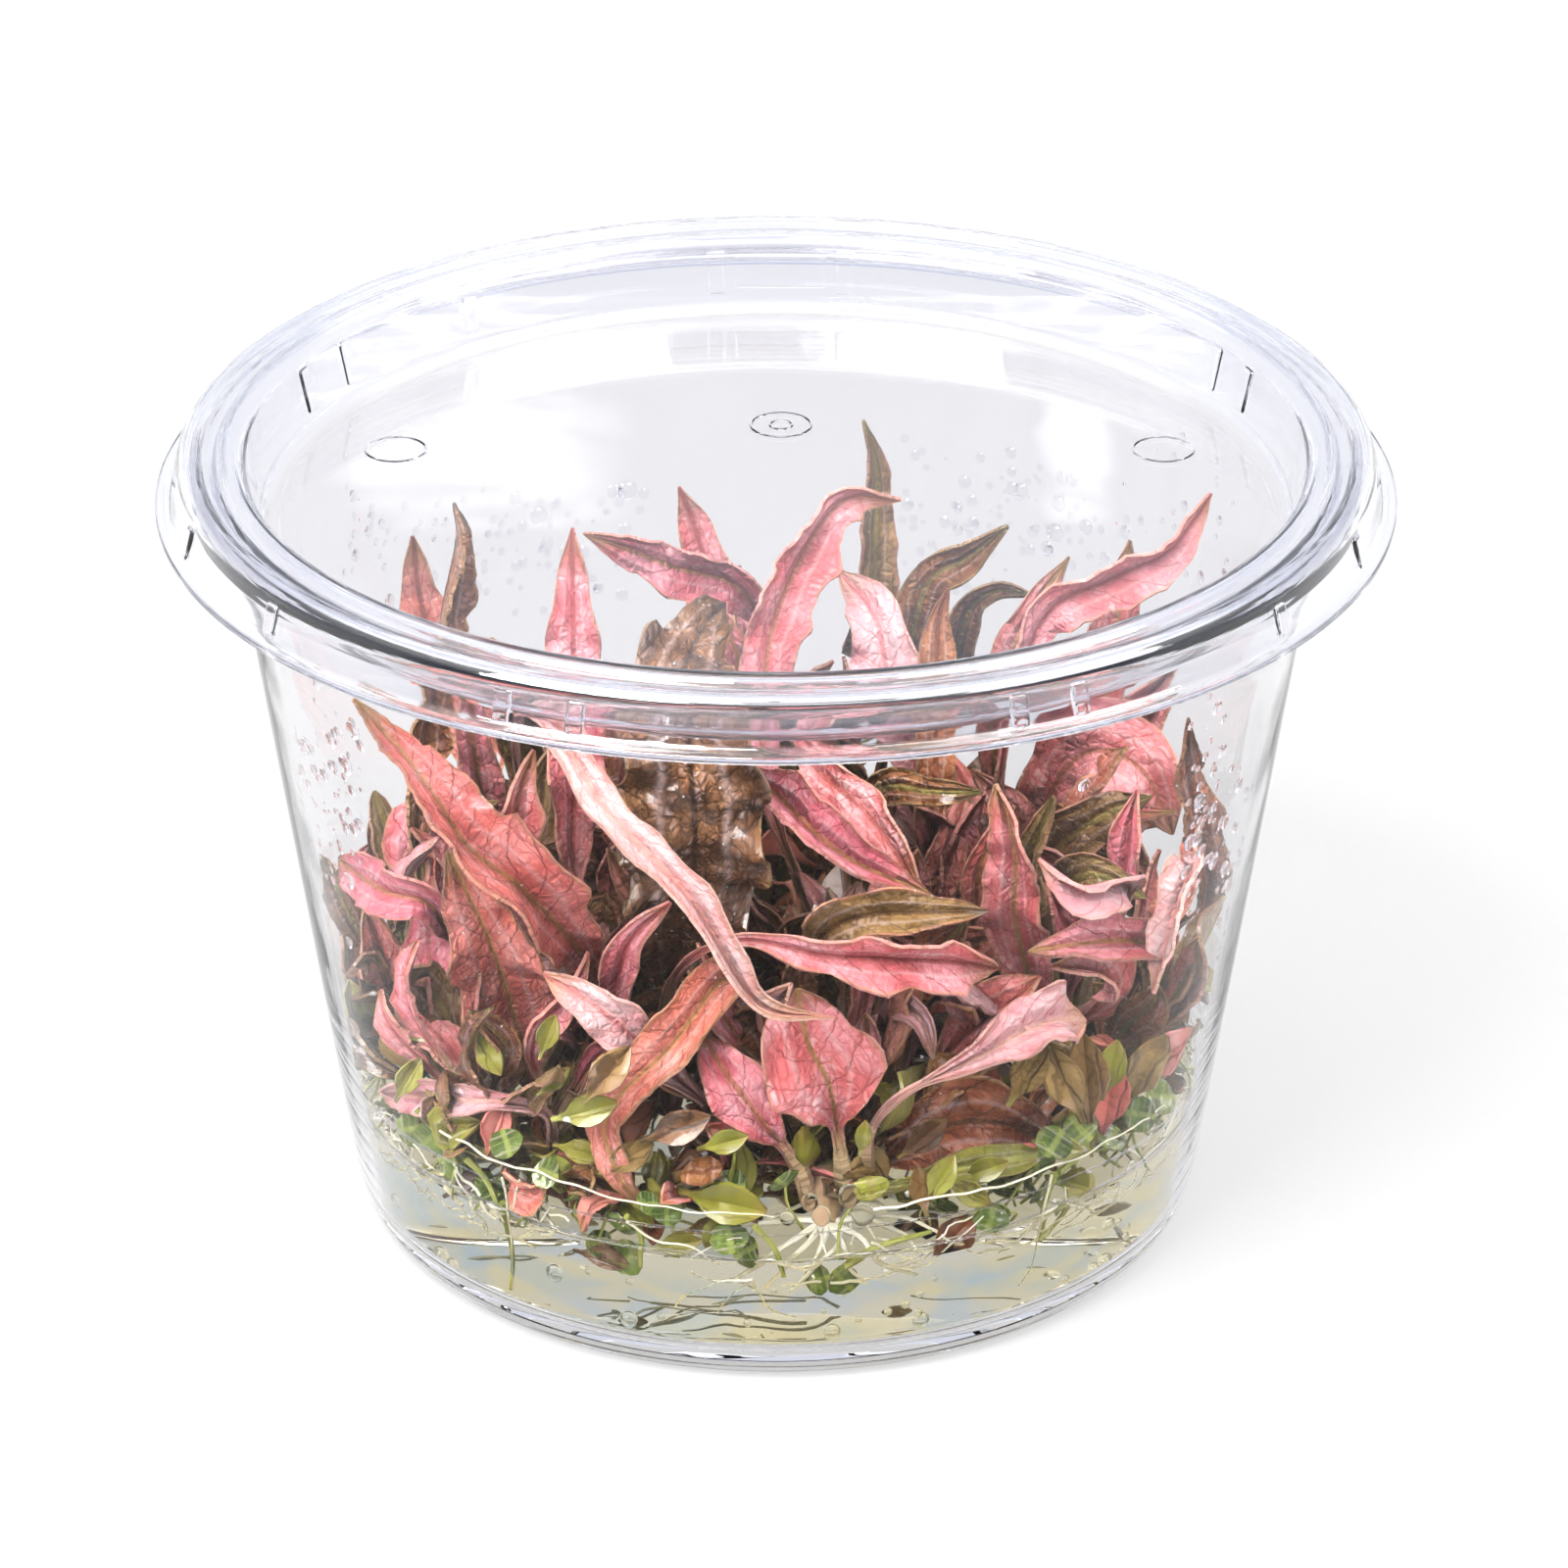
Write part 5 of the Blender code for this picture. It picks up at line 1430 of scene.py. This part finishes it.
def block(bearing, height, radius, size, bevel, lean=0.0):
    """A bevelled block at a bearing from the front, whose top leans outwards."""
    bpy.ops.mesh.primitive_cube_add(size=1.0)
    obj = bpy.context.object
    angle = math.radians(bearing - 90.0)
    obj.scale = [side * MM for side in size]
    obj.location = (radius * MM * math.cos(angle), radius * MM * math.sin(angle), height * MM)
    obj.rotation_euler = (0.0, math.radians(lean), angle)
    bpy.ops.object.transform_apply(location=True, rotation=True, scale=True)
    bpy.ops.object.mode_set(mode="EDIT")
    bpy.ops.mesh.select_all(action="SELECT")
    bpy.ops.mesh.bevel(offset=bevel * MM, segments=4, affect="EDGES")
    bpy.ops.object.mode_set(mode="OBJECT")
    return obj


def ring(x, y, radius, thick):
    """A thin ring that lies on the panel."""
    bpy.ops.mesh.primitive_torus_add(
        location=(x * MM, y * MM, PANEL_TOP * MM), major_radius=radius * MM, minor_radius=thick * MM,
        major_segments=48, minor_segments=8,
    )
    bpy.ops.object.transform_apply(location=True, rotation=True, scale=True)
    return bpy.context.object


extras = [block(b, LUG_HEIGHT, LUG_RADIUS, LUG_SIZE, BLOCK_BEVEL, WALL_LEAN) for b in LUG_BEARINGS]
for bearing in RIB_BEARINGS:
    extras.append(block(bearing, SKIRT_RIB_HEIGHT, SKIRT_RIB_RADIUS, SKIRT_RIB_SIZE, BLOCK_BEVEL, RIB_LEAN))
extras.append(block(POCKET_BEARING, LUG_HEIGHT, POCKET_RADIUS, POCKET_SIZE, POCKET_BEVEL, WALL_LEAN))
extras += [ring(x, y, RING_R, RING_THICK) for x, y in RING_SPOTS]
extras.append(ring(*RING_SPOTS[1], DIMPLE_R, RING_THICK))
extras = join("lid_extras", extras)
LID_PLASTIC = clear_paint("lid_plastic", (0.88, 0.875, 0.885), 1.42, flow_bump=0.04)
RIM_PLASTIC = clear_paint("lid_rim_plastic", (0.93, 0.935, 0.975), 1.32, frost=0.04, coat=0.9)
lid = turned("lid_shell", rounded(LID_PROFILE, 0.6), LID_PLASTIC)
union = lid.modifiers.new("extras", "BOOLEAN")
union.operation = "UNION"
union.solver = "EXACT"
union.object = extras
select([lid])
bpy.ops.object.modifier_apply(modifier=union.name)
bpy.data.objects.remove(extras)
lid.data.materials.clear()
lid.data.materials.append(LID_PLASTIC)
lid.data.materials.append(RIM_PLASTIC)
for polygon in lid.data.polygons:
    polygon.material_index = int(math.hypot(polygon.center.x, polygon.center.y) > RIM_FROM * MM)
print("lid:", dress_clear(lid, "clear_plastic", "lid"), "faces")

# %% [markdown]
# The gel is a clear cake, cloudy in patches of cream and grey green. It nearly touches the cup all round
# and climbs its wall at the edge. Air bubbles sit in it: balls a little flattened, whose index is below
# one, since light goes from gel into air there. The larger ones are where the photo shows them. Over the
# gel the wet wall carries a thin line of water all round, as a thread swept round the cup.

# %% Gel and bubbles
GEL_INDEX = 1.2
GEL_CREAM = (1.0, 0.90, 0.54)
GEL_GREY = (0.70, 0.79, 0.74)
GEL_TOP_COLOUR = (0.96, 0.92, 0.76)


def gel_paint():
    """Clear gel with cloudy patches of cream and grey green below its surface."""
    material, tree, shader = paint("gel")
    place = tree.node("ShaderNodeTexCoord", {}, {}, "Object")
    squash = tree.node("ShaderNodeMapping", {}, {"Vector": place, "Scale": (1.0, 1.0, 2.2)})
    swirl = {"Vector": squash, "Scale": 85.0, "Detail": 2.0, "Distortion": 1.0}
    cloud = tree.node("ShaderNodeTexNoise", {}, swirl)
    low = place.part("Z").step(0.0125, 0.0095)
    tint = cloud.step(0.40, 0.54).mix(GEL_GREY, GEL_CREAM)
    flow = tree.node("ShaderNodeTexNoise", {}, {"Vector": place, "Scale": 70.0, "Detail": 1.0})
    normal = tree.node("ShaderNodeBump", {}, {"Strength": 0.05, "Distance": 0.001, "Height": flow})
    feed(shader, Base_Color=low.mix(GEL_TOP_COLOUR, tint), Roughness=0.0, IOR=GEL_INDEX, Normal=normal)
    feed(shader, Transmission_Weight=1.0, Specular_IOR_Level=0.3)
    return material


def bubble():
    """A ball, a little flattened and uneven, as points and faces."""
    bpy.ops.mesh.primitive_uv_sphere_add(segments=14, ring_count=9, radius=1.0)
    obj = bpy.context.object
    co = np.array([v.co for v in obj.data.vertices])
    co = co * (1.0, 0.92, 1.06) * (1 + 0.05 * np.sin(co[:, 2:] * 2.5))
    polygons = [tuple(p.vertices) for p in obj.data.polygons]
    bpy.data.objects.remove(obj)
    return co, polygons


GEL_PAINT = gel_paint()
inner = WALL + 0.12
edge = wall_radius(GEL_TOP) - inner
GEL_PROFILE = [
    (0.0, GEL_TOP), (edge - 1.6, GEL_TOP), (edge, GEL_TOP + 1.3), (wall_radius(4.0) - inner, 4.0),
    (39.4, FLOOR_TOP + 0.1), (0.0, FLOOR_TOP + 0.1),
]
gel = turned("gel_cake", rounded(GEL_PROFILE, 0.8), GEL_PAINT)
print("gel:", dress_clear(gel, "gel", "gel"), "faces")

BUBBLE = bubble()
AIR = clear_paint("air_in_gel", (1.0, 1.0, 1.0), 0.78, flow_bump=0.0)
BUBBLE_PIXELS = (
    (570, 1295), (644, 1342), (848, 1355), (937, 1343), (1107, 1290), (1123, 1245), (470, 1285), (417, 1220),
    (860, 1310), (462, 1300), (1118, 1283),
)
SMALL_BUBBLES = 60
chance = random.Random(77)
spots = []
for pixel in BUBBLE_PIXELS:
    size = chance.uniform(0.75, 1.05)
    place = wall_spot(pixel, 1.7)
    place[2] = max(place[2], FLOOR_TOP + size * 1.1 + 0.3)
    spots.append((place, turned_axes(chance, 0.3), size, 0.5))
for _ in range(SMALL_BUBBLES):
    angle = chance.uniform(0, 2 * math.pi)
    z = chance.uniform(3.6, GEL_TOP - 1.5)
    r = wall_radius(z) - WALL - chance.uniform(0.8, 3.0)
    place = (r * math.cos(angle), r * math.sin(angle), z)
    spots.append((place, turned_axes(chance, 0.3), chance.uniform(0.18, 0.5), 0.5))
bubbles = copies("bubbles", BUBBLE, spots, AIR)
print("bubbles:", dress(bubbles, "gel"), "faces")

# %% [markdown]
# Water from the moist air sits on the inside of the wall as beads. A bead is half a ball, flattened against
# the plastic; one is modelled and copied to some hundreds of places. The patches are named by the boxes of
# pixels in which the photo shows them, on the near side of the wall or on its far side, seen through the
# lid. Round bubbles of water hang about the foot of the front plant, and a line of water runs round above
# the gel.

# %% Beads of water
def bead():
    """One bead, about one unit wide, flat towards -Z."""
    bpy.ops.mesh.primitive_uv_sphere_add(segments=10, ring_count=6, radius=1.0)
    obj = bpy.context.object
    co = np.array([v.co for v in obj.data.vertices])
    co[:, 2] = np.where(co[:, 2] > 0, co[:, 2] * 0.55, co[:, 2] * 0.08)
    polygons = [tuple(p.vertices) for p in obj.data.polygons]
    bpy.data.objects.remove(obj)
    return co, polygons


def on_wall(place):
    """Three axes for a bead at a place on the wall's inner side, the last one pointing inwards."""
    angle = math.atan2(place[1], place[0])
    out = np.array([math.cos(angle), math.sin(angle), -WALL_SLOPE])
    inward = -out / np.linalg.norm(out)
    level = np.array([-math.sin(angle), math.cos(angle), 0.0])
    return [level, np.cross(inward, level), inward]


BEAD = bead()
WATER = clear_paint("water", (0.95, 0.95, 0.97), 1.45)
FILM = clear_paint("water_film", (0.98, 0.98, 0.95), 1.12, mirror=0.8)
PATCHES = {
    "left": ((305, 690, 375, 930), False, 120),
    "right": ((1205, 690, 1285, 1010), False, 120),
    "back_left": ((350, 490, 660, 640), True, 130),
    "back_right": ((920, 440, 1260, 640), True, 140),
}
LONE_BEADS = ((790, 635), (705, 700), (1240, 940), (360, 960), (1105, 800))
FRONT_BUBBLES = ((803, 1242), (826, 1226), (866, 1220), (838, 1240), (880, 1238))
WATER_LINES = ((14.6, 0.16), (17.6, 0.11))
BEAD_GAP = 0.02
LONE_BEAD_SIZE = 0.7
faces = 0
for number, (name, ((x0, y0, x1, y1), far, count)) in enumerate(PATCHES.items()):
    chance = random.Random(number + 501)
    spots = []
    for _ in range(count):
        place = wall_spot((chance.uniform(x0, x1), chance.triangular(y0, y1, (y0 + y1) / 2)), BEAD_GAP, far)
        size = min(chance.lognormvariate(-0.85, 0.45), 1.1)
        spots.append((place, on_wall(place), size, 0.5))
    if name == "left":
        for pixel in LONE_BEADS:
            place = wall_spot(pixel, BEAD_GAP)
            spots.append((place, on_wall(place), LONE_BEAD_SIZE, 0.5))
    piece = copies(f"beads_{name}", BEAD, spots, WATER)
    faces += dress(piece, "clear_plastic")

chance = random.Random(905)
spots = []
for pixel in FRONT_BUBBLES:
    spots.append((wall_spot(pixel, 4.0), turned_axes(chance, 0.3), chance.uniform(0.7, 1.2), 0.5))
faces += dress(copies("front_drops", BUBBLE, spots, FILM), "clear_plastic")
lines = []
turns = np.linspace(0.0, 2 * math.pi, 160)
for number, (z, thick) in enumerate(WATER_LINES):
    rise = z + 0.25 * np.sin(turns * 5 + number) + 0.15 * np.sin(turns * 13)
    r = wall_radius(rise) - WALL - thick - 0.03
    path = np.column_stack([r * np.cos(turns), r * np.sin(turns), rise])
    lines.append((path, thick * (1 + 0.5 * np.sin(turns * 9))))
line = tubes("water_lines", lines)
line.data.materials.append(WATER)
faces += dress(line, "clear_plastic")
print("beads:", faces, "faces")
